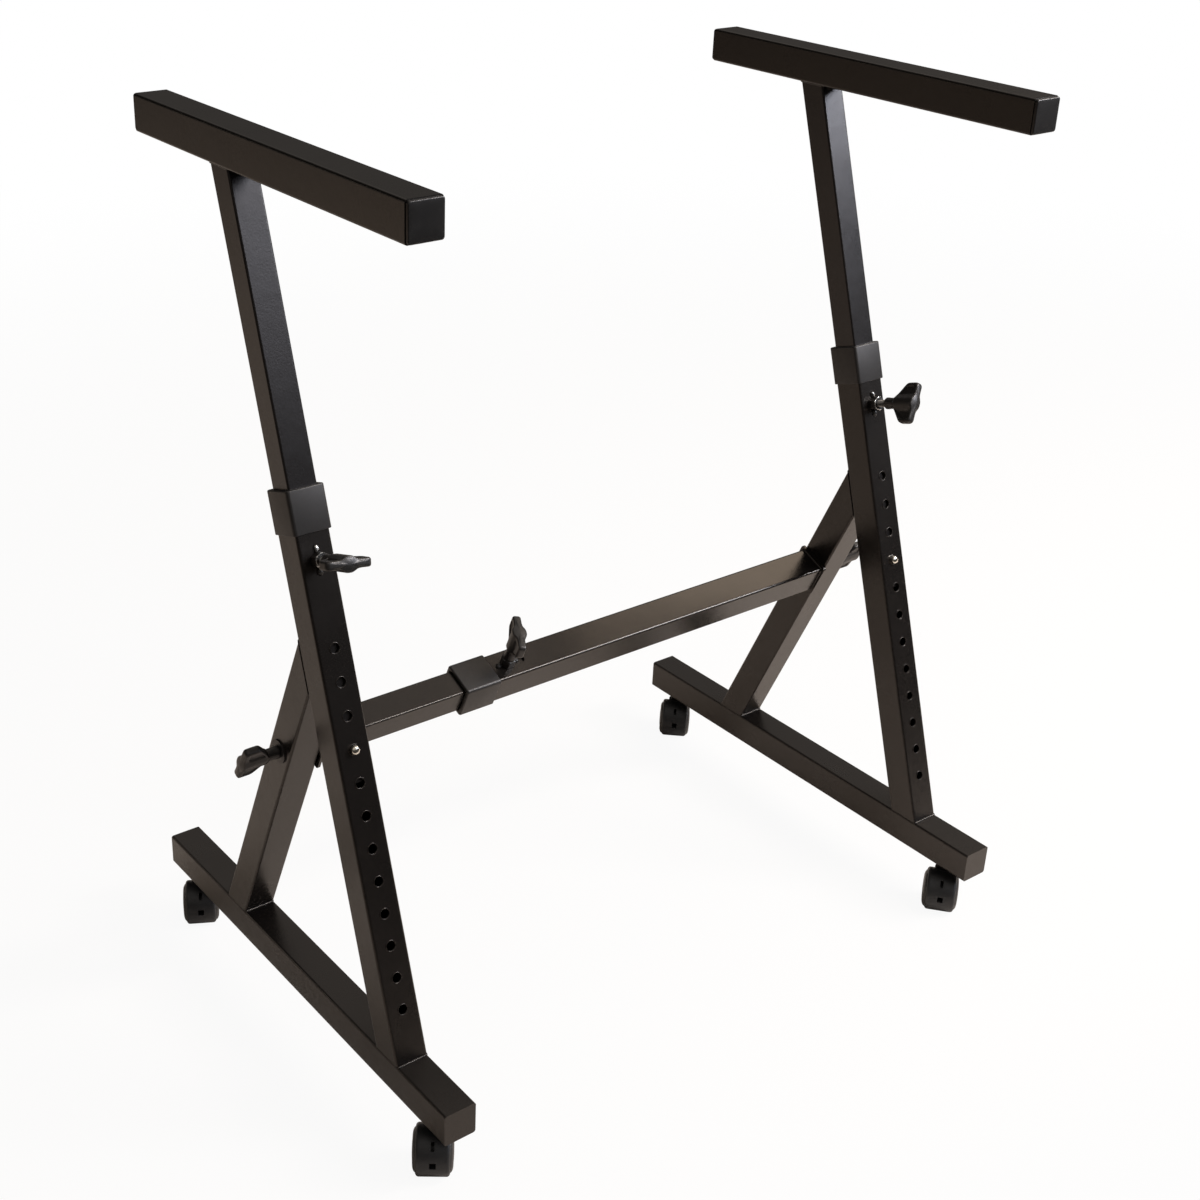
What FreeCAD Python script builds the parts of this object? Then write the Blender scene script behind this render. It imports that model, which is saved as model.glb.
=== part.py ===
import FreeCAD, Part

import math
import os
import re

import Sketcher

# A two-sided keyboard stand on casters: each side frame has a base tube, a leaning telescoping
# upright with a cross arm on top and a strut behind it, and a telescoping crossbar joins the frames.
# The row frame has +X to the player's right, +Y to the back and +Z up; the origin is on the floor,
# midway between the frames and midway along the base tubes. All lengths are in millimetres.

Vector = FreeCAD.Vector

SIZES = {
    # tubes
    "tube_side": 35.0,
    "tube_wall": 1.5,
    "tube_corner": 2.5,
    "slide_gap": 1.0,
    "inner_wall": 1.5,
    "inner_corner": 2.0,
    "fit_gap": 0.3,
    # whole stand
    "stand_width": 750.0,
    "base_length": 540.0,
    "caster_rise": 57.7,
    "end_plate": 2.0,
    # uprights
    "upright_lean": 18.0,
    "upright_foot": 172.9,
    "outer_length": 548.0,
    "hole_start": 47.9,
    "hole_pitch": 32.2,
    "hole_count": 12,
    "rest_hole": 8,
    "inner_length": 562.8,
    "button_inset": 32.0,
    "arm_front": 296.2,
    "arm_back": 157.1,
    "cap_lip": 4.0,
    "cap_step": 0.8,
    "cap_depth": 18.0,
    "cap_wall": 2.0,
    # struts and crossbar
    "strut_lean": 23.6,
    "strut_foot": 119.8,
    "bar_height": 267.4,
    "bar_inner_reach": 120.0,
    "bar_outer_reach": 167.0,
    "bar_knob_inset": 59.0,
    "bar_hole_inset": 76.5,
    "bar_plate_side": 42.0,
    "bar_plate": 3.0,
    "plate_corner": 3.0,
    # plastic collars over the ends of the outer tubes
    "collar_wall": 2.1,
    "collar_cover": 38.2,
    "collar_lip": 3.1,
    "collar_corner": 3.5,
    "sleeve_cover": 39.0,
    "sleeve_lip": 3.0,
    # spring buttons
    "button_diameter": 8.6,
    "button_play": 0.1,
    "button_proud": 6.0,
    "button_flange": 11.6,
    "button_flange_depth": 2.0,
    "button_dome": 2.4,
    "leaf_thickness": 0.8,
    "leaf_width": 9.0,
    "leaf_top": 8.0,
    "leaf_bend": 10.0,
    "leaf_drop": 28.0,
    # screws, nuts and wing knobs
    "knob_drop": 63.7,
    "screw_diameter": 8.0,
    "screw_play": 0.05,
    "nut_across": 14.0,
    "nut_height": 9.5,
    "plate_nut": 8.0,
    "washer_diameter": 24.0,
    "washer_thickness": 1.6,
    "knob_grip": 12.0,
    "neck_diameter": 11.0,
    "throat_diameter": 13.0,
    "throat_place": 7.0,
    "hub_diameter": 15.6,
    "hub_low": 22.0,
    "hub_shoulder": 39.5,
    "knob_length": 42.0,
    "wing_span": 46.0,
    "wing_thickness": 8.5,
    "wing_low": 25.5,
    "wing_high": 41.0,
    "wing_corner": 4.0,
    "left_knob_gap": 16.0,
    "right_knob_gap": 21.0,
    "left_knob_turn": -8.0,
    "right_knob_turn": 60.0,
    "strut_knob_turn": -8.0,
    "bar_knob_turn": 65.0,
    # casters
    "caster_front": 43.0,
    "caster_back": 30.0,
    "left_front_turn": 36.0,
    "left_back_turn": 28.0,
    "right_front_turn": 50.0,
    "right_back_turn": 43.0,
    "caster_trail": 10.6,
    "wheel_diameter": 43.0,
    "wheel_inset": 6.4,
    "wheel_tread": 16.0,
    "wheel_reach": 20.0,
    "wheel_bevel": 1.5,
    "wheel_face": 14.0,
    "axle_diameter": 5.0,
    "axle_reach": 17.0,
    "hood_gap": 1.2,
    "hood_shell": 2.0,
    "hood_width": 33.0,
    "hood_back": 20.0,
    "hood_drop": 46.0,
    "hood_rise": 46.8,
    "web_width": 12.0,
    "hub_ring": 9.0,
    "boss_diameter": 18.0,
    "stem_diameter": 8.0,
    "stem_flange": 14.0,
    "stem_flange_depth": 3.0,
    "stem_thread": 10.0,
    "stem_top": 11.0,
    "stem_depth": 16.0,
    "lock_across": 16.0,
    "lock_height": 6.0,
    "insert_across": 17.0,
    "insert_height": 8.0,
    "slot_width": 6.2,
    "slot_height": 6.6,
    "slot_rise": 20.3,
    "slot_depth": 6.0,
    "key_slot_width": 3.4,
    "key_slot_height": 5.7,
    "key_slot_rise": 37.0,
    "key_slot_depth": 17.0,
}

doc = FreeCAD.newDocument("keyboard_stand")
sheet = doc.addObject("Spreadsheet::Sheet", "Sizes")
for row, (name, value) in enumerate(SIZES.items(), start=1):
    cell = "A{}".format(row)
    sheet.set(cell, str(value))
    sheet.setAlias(cell, name)
doc.recompute()

# Sizes that follow from the ones above
HALF = "tube_side / 2"
INNER_SIDE = "(tube_side - 2 * tube_wall - 2 * slide_gap)"
BORE_SIDE = "(tube_side - 2 * tube_wall)"
COLLAR_SIDE = "(tube_side + 2 * collar_wall)"
BASE_TOP = "(caster_rise + tube_side)"
BUTTON_PLACE = "(hole_start + rest_hole * hole_pitch)"
INNER_START = "(hole_start + rest_hole * hole_pitch - button_inset)"
INNER_TOP = "(hole_start + rest_hole * hole_pitch - button_inset + inner_length)"
BAR_KNOB_PLACE = "-(bar_outer_reach - bar_knob_inset)"
PLATE_FACE = "(stand_width / 2 - tube_side - bar_plate)"
SCREW_HOLE = "(screw_diameter + 2 * fit_gap)"
NUT_BORE = "(screw_diameter + 2 * screw_play)"
AXLE_RISE = "wheel_diameter / 2"
HOOD_INSIDE = "(wheel_diameter / 2 + hood_gap)"
HOOD_OUTSIDE = "(wheel_diameter / 2 + hood_gap + hood_shell)"


def bound(text):
    """Write the sheet's name before every size named in an expression.

    Args:
        text: an expression in the names of SIZES.

    Returns:
        The expression as the document reads it.
    """
    return re.sub(r"[a-z][a-z_]*[a-z]", lambda found: (
        "Sizes." + found.group(0) if found.group(0) in SIZES else found.group(0)), text)


def number(item, text):
    """Work out an expression as a plain number."""
    result = item.evalExpression(bound(text))
    return float(getattr(result, "Value", result))


def turn(axis, angle):
    """Expression of a rotation by an angle about one of the three axes."""
    lines = {"x": "1; 0; 0", "y": "0; 1; 0", "z": "0; 0; 1"}
    return "create(<<rotation>>; create(<<vector>>; {}); {})".format(lines[axis], angle)


def place(along_x="0", along_y="0", along_z="0", rotation=None):
    """Expression of a placement: where it is and how it is turned."""
    spot = "create(<<vector>>; {}; {}; {})".format(along_x, along_y, along_z)
    return "create(<<placement>>; {}; {})".format(spot, rotation or turn("z", "0"))


def chain(*steps):
    """Expression of one placement inside another, the outermost first."""
    return " * ".join(steps)


def body(label, where):
    """Start a body that is placed by an expression."""
    item = doc.addObject("PartDesign::Body", label)
    item.Label = label
    item.setExpression("Placement", bound(where))
    return item


def origin(item, role):
    """Find one of a body's own origin planes or axes by its role."""
    return [part for part in item.Origin.OriginFeatures if part.Role == role][0]


def start_sketch(item, name, role):
    """Start a sketch on one of the body's own origin planes."""
    sketch = item.newObject("Sketcher::SketchObject", name)
    sketch.AttachmentSupport = (origin(item, role), [""])
    sketch.MapMode = "FlatFace"
    return sketch


def hold(sketch, kind, first, value, text):
    """Add a constraint and bind its value to the sheet."""
    index = sketch.addConstraint(Sketcher.Constraint(kind, *first, value))
    sketch.setExpression("Constraints[{}]".format(index), bound(text))


def outline(item, name, role, points, arcs=None):
    """Draw a closed outline whose corners are bound to the sheet.

    Args:
        item: the body that gets the sketch.
        name: the sketch's name.
        role: the origin plane that it lies on.
        points: pairs of expressions, one pair for each corner in order.
        arcs: for a side that is an arc, its index, with the centre's two expressions and
            whether the arc runs counter-clockwise from its first corner.

    Returns:
        The sketch.
    """
    arcs = arcs or {}
    sketch = start_sketch(item, name, role)
    spots = [Vector(number(sketch, across), number(sketch, up), 0) for across, up in points]
    ends = []
    for index, spot in enumerate(spots):
        after = spots[(index + 1) % len(spots)]
        if index not in arcs:
            sketch.addGeometry(Part.LineSegment(spot, after), False)
            ends.append((1, 2))
            continue
        across, up, forward = arcs[index]
        centre = Vector(number(sketch, across), number(sketch, up), 0)
        first, last = (spot, after) if forward else (after, spot)
        angles = [math.atan2(end.y - centre.y, end.x - centre.x) for end in (first, last)]
        circle = Part.Circle(centre, Vector(0, 0, 1), (first - centre).Length)
        sketch.addGeometry(Part.ArcOfCircle(circle, angles[0], angles[1]), False)
        ends.append((1, 2) if forward else (2, 1))
    for index in range(len(spots)):
        after = (index + 1) % len(spots)
        sketch.addConstraint(Sketcher.Constraint(
            "Coincident", index, ends[index][1], after, ends[after][0]))
    for index, (across, up) in enumerate(points):
        corner = (-1, 1, index, ends[index][0])
        hold(sketch, "DistanceX", corner, spots[index].x, across)
        hold(sketch, "DistanceY", corner, spots[index].y, up)
        if index in arcs:
            middle = arcs[index]
            reach = "sqrt(({0} - ({2})) ^ 2 + ({1} - ({3})) ^ 2)".format(across, up, *middle[:2])
            hold(sketch, "Radius", (index,), number(sketch, reach), reach)
    return sketch


def circle(item, name, role, across, up, diameter):
    """Draw a circle whose centre and diameter are bound to the sheet."""
    sketch = start_sketch(item, name, role)
    centre = Vector(number(sketch, across), number(sketch, up), 0)
    size = number(sketch, diameter)
    sketch.addGeometry(Part.Circle(centre, Vector(0, 0, 1), size / 2), False)
    hold(sketch, "DistanceX", (-1, 1, 0, 3), centre.x, across)
    hold(sketch, "DistanceY", (-1, 1, 0, 3), centre.y, up)
    hold(sketch, "Diameter", (0,), size, diameter)
    return sketch


def pad(item, name, sketch, length, both=True, back=False):
    """Raise a sketch into material, to both sides of its plane or to one."""
    feature = item.newObject("PartDesign::Pad", name)
    feature.Profile = sketch
    feature.SideType = "Symmetric" if both else "One side"
    feature.Reversed = back
    feature.setExpression("Length", bound(length))
    sketch.Visibility = False
    doc.recompute()
    return feature


def cut(item, name, sketch, length, both=True, back=False):
    """Cut a sketch out of the body and check that material went away."""
    before = item.Shape.Volume
    feature = item.newObject("PartDesign::Pocket", name)
    feature.Profile = sketch
    feature.SideType = "Symmetric" if both else "One side"
    feature.Reversed = back
    feature.setExpression("Length", bound(length))
    sketch.Visibility = False
    doc.recompute()
    if not item.Shape.Volume < before:
        raise RuntimeError("{} cuts nothing".format(name))
    return feature


def spin(item, name, sketch, role):
    """Turn a sketch all the way round one of the body's own axes."""
    feature = item.newObject("PartDesign::Revolution", name)
    feature.Profile = sketch
    feature.ReferenceAxis = (origin(item, role), [""])
    feature.Angle = 360
    sketch.Visibility = False
    doc.recompute()
    return feature


def groove(item, name, sketch, role):
    """Cut away a sketch turned all the way round an axis and check that material went away."""
    before = item.Shape.Volume
    feature = item.newObject("PartDesign::Groove", name)
    feature.Profile = sketch
    feature.ReferenceAxis = (origin(item, role), [""])
    feature.Angle = 360
    sketch.Visibility = False
    doc.recompute()
    if not item.Shape.Volume < before:
        raise RuntimeError("{} cuts nothing".format(name))
    return feature


def round_edges(item, name, base, direction, radius):
    """Round every straight edge of a feature that runs in one direction."""
    wanted = []
    for index, edge in enumerate(base.Shape.Edges, start=1):
        if edge.Curve.TypeId != "Part::GeomLine":
            continue
        if abs(abs(edge.tangentAt(edge.FirstParameter).dot(direction)) - 1) < 1e-6:
            wanted.append("Edge{}".format(index))
    feature = item.newObject("PartDesign::Fillet", name)
    feature.Base = (base, wanted)
    feature.setExpression("Radius", bound(radius))
    doc.recompute()
    return feature


def tube(label, where, side, wall, corner, low, high):
    """Build a square tube along its own z axis with straight or mitred ends.

    Args:
        label: the piece's name.
        where: its placement.
        side: outside width.
        wall: wall thickness.
        corner: outside corner radius.
        low: where the lower end meets the -y face and the +y face, along the tube.
        high: the same for the upper end.

    Returns:
        The body.
    """
    item = body(label, where)
    half = "({}) / 2".format(side)
    shape = outline(item, label + "_side", "YZ_Plane", [
        ("-" + half, low[0]), (half, low[1]), (half, high[1]), ("-" + half, high[0])])
    block = pad(item, label + "_block", shape, side)
    round_edges(item, label + "_corners", block, Vector(0, 0, 1), corner)
    inside = "(({}) / 2 - {})".format(side, wall)
    hollow = outline(item, label + "_hollow", "YZ_Plane", [
        ("-" + inside, "{} - ({})".format(low[0], side)),
        (inside, "{} - ({})".format(low[1], side)),
        (inside, "{} + ({})".format(high[1], side)),
        ("-" + inside, "{} + ({})".format(high[0], side))])
    cut(item, label + "_bore", hollow, "2 * " + inside)
    return item


def block(item, name, width, low_y, high_y, low_z, high_z):
    """Add a straight block, centred across the body's x axis."""
    shape = outline(item, name + "_side", "YZ_Plane", [
        (low_y, low_z), (high_y, low_z), (high_y, high_z), (low_y, high_z)])
    return pad(item, name, shape, width)


def group(label, pieces):
    """Name several separate solids as one piece of the stand."""
    item = doc.addObject("Part::Compound", label)
    item.Label = label
    item.Links = pieces
    return item


def bar(label, where, diameter, low, high):
    """Build a round bar along the placement's z axis."""
    item = doc.addObject("Part::Cylinder", label)
    item.Label = label
    item.setExpression("Radius", bound("({}) / 2".format(diameter)))
    item.setExpression("Height", bound("({}) - ({})".format(high, low)))
    item.setExpression("Placement", bound(chain(where, place(along_z=low))))
    return item


def nut(label, where, across, height, bore, low="0"):
    """Build a six-sided nut whose corners point along the placement's x axis."""
    stock = doc.addObject("Part::Prism", label + "_stock")
    stock.Polygon = 6
    stock.setExpression("Circumradius", bound("{} / sqrt(3)".format(across)))
    stock.setExpression("Height", bound(height))
    stock.setExpression("Placement", bound(chain(where, place(along_z=low))))
    drill = doc.addObject("Part::Cylinder", label + "_drill")
    drill.setExpression("Radius", bound("({}) / 2".format(bore)))
    drill.setExpression("Height", bound("3 * ({})".format(height)))
    drill.setExpression("Placement", bound(chain(
        where, place(along_z="{} - ({})".format(low, height)))))
    item = doc.addObject("Part::Cut", label)
    item.Label = label
    item.Base = stock
    item.Tool = drill
    return item


def wing_knob(label, where):
    """Build a wing knob: round neck, two flat lobes, domed hub and a blind hole for the screw."""
    item = body(label, where)
    half = "wing_span / 2"
    shape = outline(item, label + "_wing_side", "XZ_Plane", [
        ("-throat_diameter / 2", "knob_grip + fit_gap"), ("throat_diameter / 2", "knob_grip + fit_gap"),
        (half, "wing_low"), (half, "wing_high"), ("-" + half, "wing_high"), ("-" + half, "wing_low")])
    wing = pad(item, label + "_wing", shape, "wing_thickness")
    round_edges(item, label + "_lobes", wing, Vector(0, 1, 0), "wing_corner")
    edge = "hub_diameter / 2"
    dome = "(knob_length - hub_shoulder)"
    bottom = "(hub_shoulder - (({0}) ^ 2 - {1} ^ 2) / (2 * {1}))".format(edge, dome)
    grip = "screw_diameter / 2"
    profile = outline(item, label + "_hub_side", "XZ_Plane", [
        (grip, "0"), ("neck_diameter / 2", "0"),
        ("throat_diameter / 2", "throat_place"), (edge, "hub_low"), (edge, "hub_shoulder"),
        ("0", "knob_length"), ("0", "knob_grip"), (grip, "knob_grip")],
        {4: ("0", bottom, True)})
    spin(item, label + "_hub", profile, "Z_Axis")
    return item


# Places of the two frames' parts
SIDE_X = {"left": "-(stand_width - tube_side) / 2", "right": "(stand_width - tube_side) / 2"}
UPRIGHT = {side: place(SIDE_X[side], "-upright_foot", BASE_TOP, turn("x", "-upright_lean"))
           for side in SIDE_X}
STRUT = {side: place(SIDE_X[side], "strut_foot", BASE_TOP, turn("x", "strut_lean"))
         for side in SIDE_X}
BASE = {side: place(SIDE_X[side], "0", "caster_rise + tube_side / 2", turn("x", "-90"))
        for side in SIDE_X}
ARM = {side: place(SIDE_X[side], "-upright_foot + {} * sin(upright_lean)".format(INNER_TOP),
                   "{} + {} * cos(upright_lean) + tube_side / 2".format(BASE_TOP, INNER_TOP),
                   turn("x", "-90"))
       for side in SIDE_X}
HEIGHT_KNOB = {side: chain(UPRIGHT[side], place(
    "0", "-tube_side / 2", "outer_length - knob_drop", turn("x", "90"))) for side in SIDE_X}
STRUT_KNOB = {
    "left": chain(STRUT["left"], place("-tube_side / 2", "0", "bar_height", turn("y", "-90"))),
    "right": chain(STRUT["right"], place("tube_side / 2", "0", "bar_height", turn("y", "90"))),
}
BAR = place("0", "strut_foot - bar_height * sin(strut_lean)",
            BASE_TOP + " + bar_height * cos(strut_lean)", turn("x", "strut_lean"))
BAR_ALONG = chain(BAR, place(rotation=turn("y", "90")))
BAR_KNOB = chain(BAR, place(BAR_KNOB_PLACE, "0", "tube_side / 2"))

nodes = {}


def keep(item):
    """List a finished piece for export."""
    nodes[item.Label] = item
    return item


def mitre(slope):
    """Where a level plane meets a leaning outer tube's -y and +y faces, from its axis."""
    return ("-({}) * {}".format(HALF, slope), "({}) * {}".format(HALF, slope))


def build_base(side):
    """Base tube with its stem holes and end plates."""
    reach = "(base_length / 2 - end_plate)"
    item = tube(side + "_base_tube", BASE[side], "tube_side", "tube_wall", "tube_corner",
                ("-" + reach, "-" + reach), (reach, reach))
    for name, spot in (("front", "-(base_length / 2 - caster_front)"),
                       ("back", "base_length / 2 - caster_back")):
        hole = circle(item, "{}_{}_stem_hole".format(side, name), "XZ_Plane", "0", spot,
                      "stem_thread + 2 * screw_play")
        cut(item, "{}_{}_stem_way".format(side, name), hole, "tube_side", both=False)
    keep(item)
    plates = []
    for name, low, high in (("front", "-base_length / 2", "-" + reach),
                            ("back", reach, "base_length / 2")):
        plate = body("{}_base_plate_{}".format(side, name), BASE[side])
        sheet_metal = block(plate, "{}_{}_plate".format(side, name), "tube_side",
                            "-" + HALF, HALF, low, high)
        round_edges(plate, "{}_{}_plate_corners".format(side, name), sheet_metal,
                    Vector(0, 0, 1), "tube_corner")
        plates.append(plate)
    keep(group(side + "_base_plates", plates))


def build_upright(side):
    """Outer upright with its row of holes, and the plastic collar on its end."""
    item = tube(side + "_outer_upright", UPRIGHT[side], "tube_side", "tube_wall", "tube_corner",
                mitre("tan(upright_lean)"), ("outer_length", "outer_length"))
    way = circle(item, side + "_screw_hole", "XZ_Plane", "0", "outer_length - knob_drop", SCREW_HOLE)
    cut(item, side + "_screw_way", way, "tube_side", both=False, back=True)
    first = circle(item, side + "_first_hole", "XZ_Plane", "0", "hole_start",
                   "button_diameter + 2 * fit_gap")
    hole = cut(item, side + "_first_way", first, "tube_side", both=False, back=True)
    before = item.Shape.Volume
    row = item.newObject("PartDesign::LinearPattern", side + "_hole_row")
    row.Originals = [hole]
    row.Direction = (origin(item, "Z_Axis"), [""])
    row.Mode = "Spacing"
    row.setExpression("Offset", bound("hole_pitch"))
    row.setExpression("Occurrences", bound("hole_count"))
    item.Tip = row
    doc.recompute()
    if not item.Shape.Volume < before:
        raise RuntimeError("the row of holes cuts nothing")
    keep(item)

    collar = body(side + "_height_collar", UPRIGHT[side])
    half = COLLAR_SIDE + " / 2"
    top = "(outer_length + collar_lip)"
    mouth = "(outer_length - collar_cover)"
    stock = block(collar, side + "_collar_stock", COLLAR_SIDE, "-" + half, half, mouth, top)
    round_edges(collar, side + "_collar_corners", stock, Vector(0, 0, 1), "collar_corner")
    cover(collar, side + "_collar", mouth, top, mouth, "outer_length")
    keep(collar)


def cover(item, name, low, high, mouth, seat):
    """Hollow a plastic collar: a slot for the outer tube's wall and a way for the inner tube.

    Args:
        item: the collar's body.
        name: name of its features.
        low: the collar's lower end, along the tube.
        high: its upper end.
        mouth: the end that the outer tube enters.
        seat: where the outer tube's end lies.
    """
    outer = "tube_side / 2"
    slot = outline(item, name + "_slot", "YZ_Plane", [
        ("-" + outer, mouth), (outer, mouth), (outer, seat), ("-" + outer, seat)])
    cut(item, name + "_seat", slot, "tube_side")
    guide = BORE_SIDE + " / 2"
    liner = outline(item, name + "_liner", "YZ_Plane", [
        ("-" + guide, mouth), (guide, mouth), (guide, seat), ("-" + guide, seat)])
    pad(item, name + "_guide", liner, BORE_SIDE)
    way = "(({}) / 2 + fit_gap)".format(INNER_SIDE)
    below = "({}) - tube_side".format(low)
    above = "({}) + tube_side".format(high)
    bore = outline(item, name + "_bore", "YZ_Plane", [
        ("-" + way, below), (way, below), (way, above), ("-" + way, above)])
    cut(item, name + "_way", bore, "2 * " + way)


def build_strut(side):
    """Strut from the base tube's top to the upright's back face."""
    steep = "(upright_lean + strut_lean)"
    middle = "((strut_foot + upright_foot) * cos(upright_lean) - tube_side / 2)"
    ends = ["({} - {} * cos{}) / sin{}".format(middle, HALF, steep, steep),
            "({} + {} * cos{}) / sin{}".format(middle, HALF, steep, steep)]
    low = mitre("tan(strut_lean)")
    item = tube(side + "_strut", STRUT[side], "tube_side", "tube_wall", "tube_corner",
                (low[1], low[0]), tuple(ends))
    way = circle(item, side + "_bolt_hole", "YZ_Plane", "0", "bar_height", SCREW_HOLE)
    cut(item, side + "_bolt_way", way, "2 * tube_side")
    keep(item)


def build_inner(side):
    """Inner upright, arm on top of it, end caps, spring button and its leaf spring."""
    inner = INNER_SIDE
    rise = "({} / 2) * tan(upright_lean)".format(inner)
    item = tube(side + "_inner_upright", UPRIGHT[side], inner, "inner_wall", "inner_corner",
                (INNER_START, INNER_START),
                ("{} - {}".format(INNER_TOP, rise), "{} + {}".format(INNER_TOP, rise)))
    hole = circle(item, side + "_button_hole", "XZ_Plane", "0", BUTTON_PLACE,
                  "button_diameter + 2 * button_play")
    cut(item, side + "_button_way", hole, "tube_side", both=False, back=True)
    keep(item)

    low = "-(arm_front - cap_lip)"
    high = "(arm_back - cap_lip)"
    keep(tube(side + "_arm_tube", ARM[side], "tube_side", "tube_wall", "tube_corner",
              (low, low), (high, high)))
    caps = []
    for name, edge, out in (("front", low, "-"), ("back", high, "+")):
        back = "+" if out == "-" else "-"
        cap = body("{}_arm_cap_{}".format(side, name), ARM[side])
        wide = "(tube_side / 2 - cap_step)"
        lip = block(cap, "{}_{}_cap_lip".format(side, name), "2 * " + wide, "-" + wide, wide,
                    *((edge + " - cap_lip", edge) if out == "-" else (edge, edge + " + cap_lip")))
        round_edges(cap, "{}_{}_cap_corners".format(side, name), lip, Vector(0, 0, 1), "tube_corner")
        deep = "{} {} cap_depth".format(edge, back)
        plug = BORE_SIDE + " / 2"
        block(cap, "{}_{}_cap_plug".format(side, name), BORE_SIDE, "-" + plug, plug,
              *((edge, deep) if out == "-" else (deep, edge)))
        room = "({} / 2 - cap_wall)".format(BORE_SIDE)
        start = "{} {} cap_wall".format(edge, back)
        finish = "{} {} tube_side".format(edge, back)
        hollow = outline(cap, "{}_{}_cap_room".format(side, name), "YZ_Plane", [
            ("-" + room, start), (room, start), (room, finish), ("-" + room, finish)])
        cut(cap, "{}_{}_cap_hollow".format(side, name), hollow, "2 * " + room)
        caps.append(cap)
    keep(group(side + "_arm_caps", caps))

    where = chain(UPRIGHT[side], place("0", "0", BUTTON_PLACE, turn("x", "90")))
    button = body(side + "_button", where)
    pin = "button_diameter / 2"
    seat = "({} / 2 - inner_wall)".format(inner)
    tip = "(tube_side / 2 + button_proud)"
    shoulder = "({} - button_dome)".format(tip)
    middle = "({0} - (({1}) ^ 2 - button_dome ^ 2) / (2 * button_dome))".format(shoulder, pin)
    profile = outline(button, side + "_button_side", "XZ_Plane", [
        ("0", seat + " - button_flange_depth"),
        ("button_flange / 2", seat + " - button_flange_depth"), ("button_flange / 2", seat),
        (pin, seat), (pin, shoulder), ("0", tip)], {4: ("0", middle, True)})
    spin(button, side + "_button_turned", profile, "Z_Axis")
    keep(button)

    leaf = body(side + "_button_spring", chain(UPRIGHT[side], place(along_z=BUTTON_PLACE)))
    front = "-({} - button_flange_depth)".format(seat)
    rear = seat
    strip = outline(leaf, side + "_leaf_side", "YZ_Plane", [
        (front, "leaf_top"), (front, "-leaf_bend"), (rear, "-leaf_drop"), (rear, "leaf_top"),
        (rear + " - leaf_thickness", "leaf_top"),
        (rear + " - leaf_thickness", "-leaf_drop + 2 * leaf_thickness"),
        (front + " + leaf_thickness", "-leaf_bend + leaf_thickness"),
        (front + " + leaf_thickness", "leaf_top")])
    pad(leaf, side + "_leaf", strip, "leaf_width")
    keep(leaf)


def build_hardware(side):
    """Weld nuts, strut washer, screws and wing knobs of one frame."""
    gap = side + "_knob_gap"
    upright = HEIGHT_KNOB[side]
    strut = STRUT_KNOB[side]
    pieces = [nut(side + "_height_nut", chain(upright, place(rotation=turn("z", "90"))),
                  "nut_across", "nut_height", NUT_BORE)]
    thread = "stem_thread + 2 * screw_play"
    for name, spot in (("front", "-(base_length / 2 - caster_front)"),
                       ("back", "base_length / 2 - caster_back")):
        inside = place(SIDE_X[side], spot, "caster_rise + tube_wall")
        below = place(SIDE_X[side], spot, "caster_rise")
        pieces.append(nut("{}_{}_insert".format(side, name), inside, "insert_across",
                          "insert_height", thread))
        pieces.append(nut("{}_{}_lock".format(side, name), below, "lock_across", "lock_height",
                          thread, "-lock_height"))
    keep(group(side + "_weld_nuts", pieces))
    tip = "-(tube_wall + slide_gap) + fit_gap + {} - left_knob_gap".format(gap)
    keep(bar(side + "_height_screw", upright, "screw_diameter", tip, gap + " + knob_grip"))
    keep(wing_knob(side + "_height_knob", chain(
        upright, place("0", "0", gap, turn("z", side + "_knob_turn")))))

    washer = body(side + "_strut_washer", strut)
    ring = circle(washer, side + "_washer_round", "XY_Plane", "0", "0", "washer_diameter")
    pad(washer, side + "_washer", ring, "washer_thickness", both=False)
    hole = circle(washer, side + "_washer_hole", "XY_Plane", "0", "0", SCREW_HOLE)
    cut(washer, side + "_washer_way", hole, "2 * washer_thickness", both=False, back=True)
    keep(washer)
    deep = "-(tube_side + bar_plate + plate_nut)"
    face = "washer_thickness + fit_gap"
    keep(bar(side + "_strut_screw", strut, "screw_diameter", deep, face + " + knob_grip"))
    lean = "strut_knob_turn" if side == "left" else "-strut_knob_turn"
    keep(wing_knob(side + "_strut_knob", chain(strut, place("0", "0", face, turn("z", lean)))))


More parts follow.
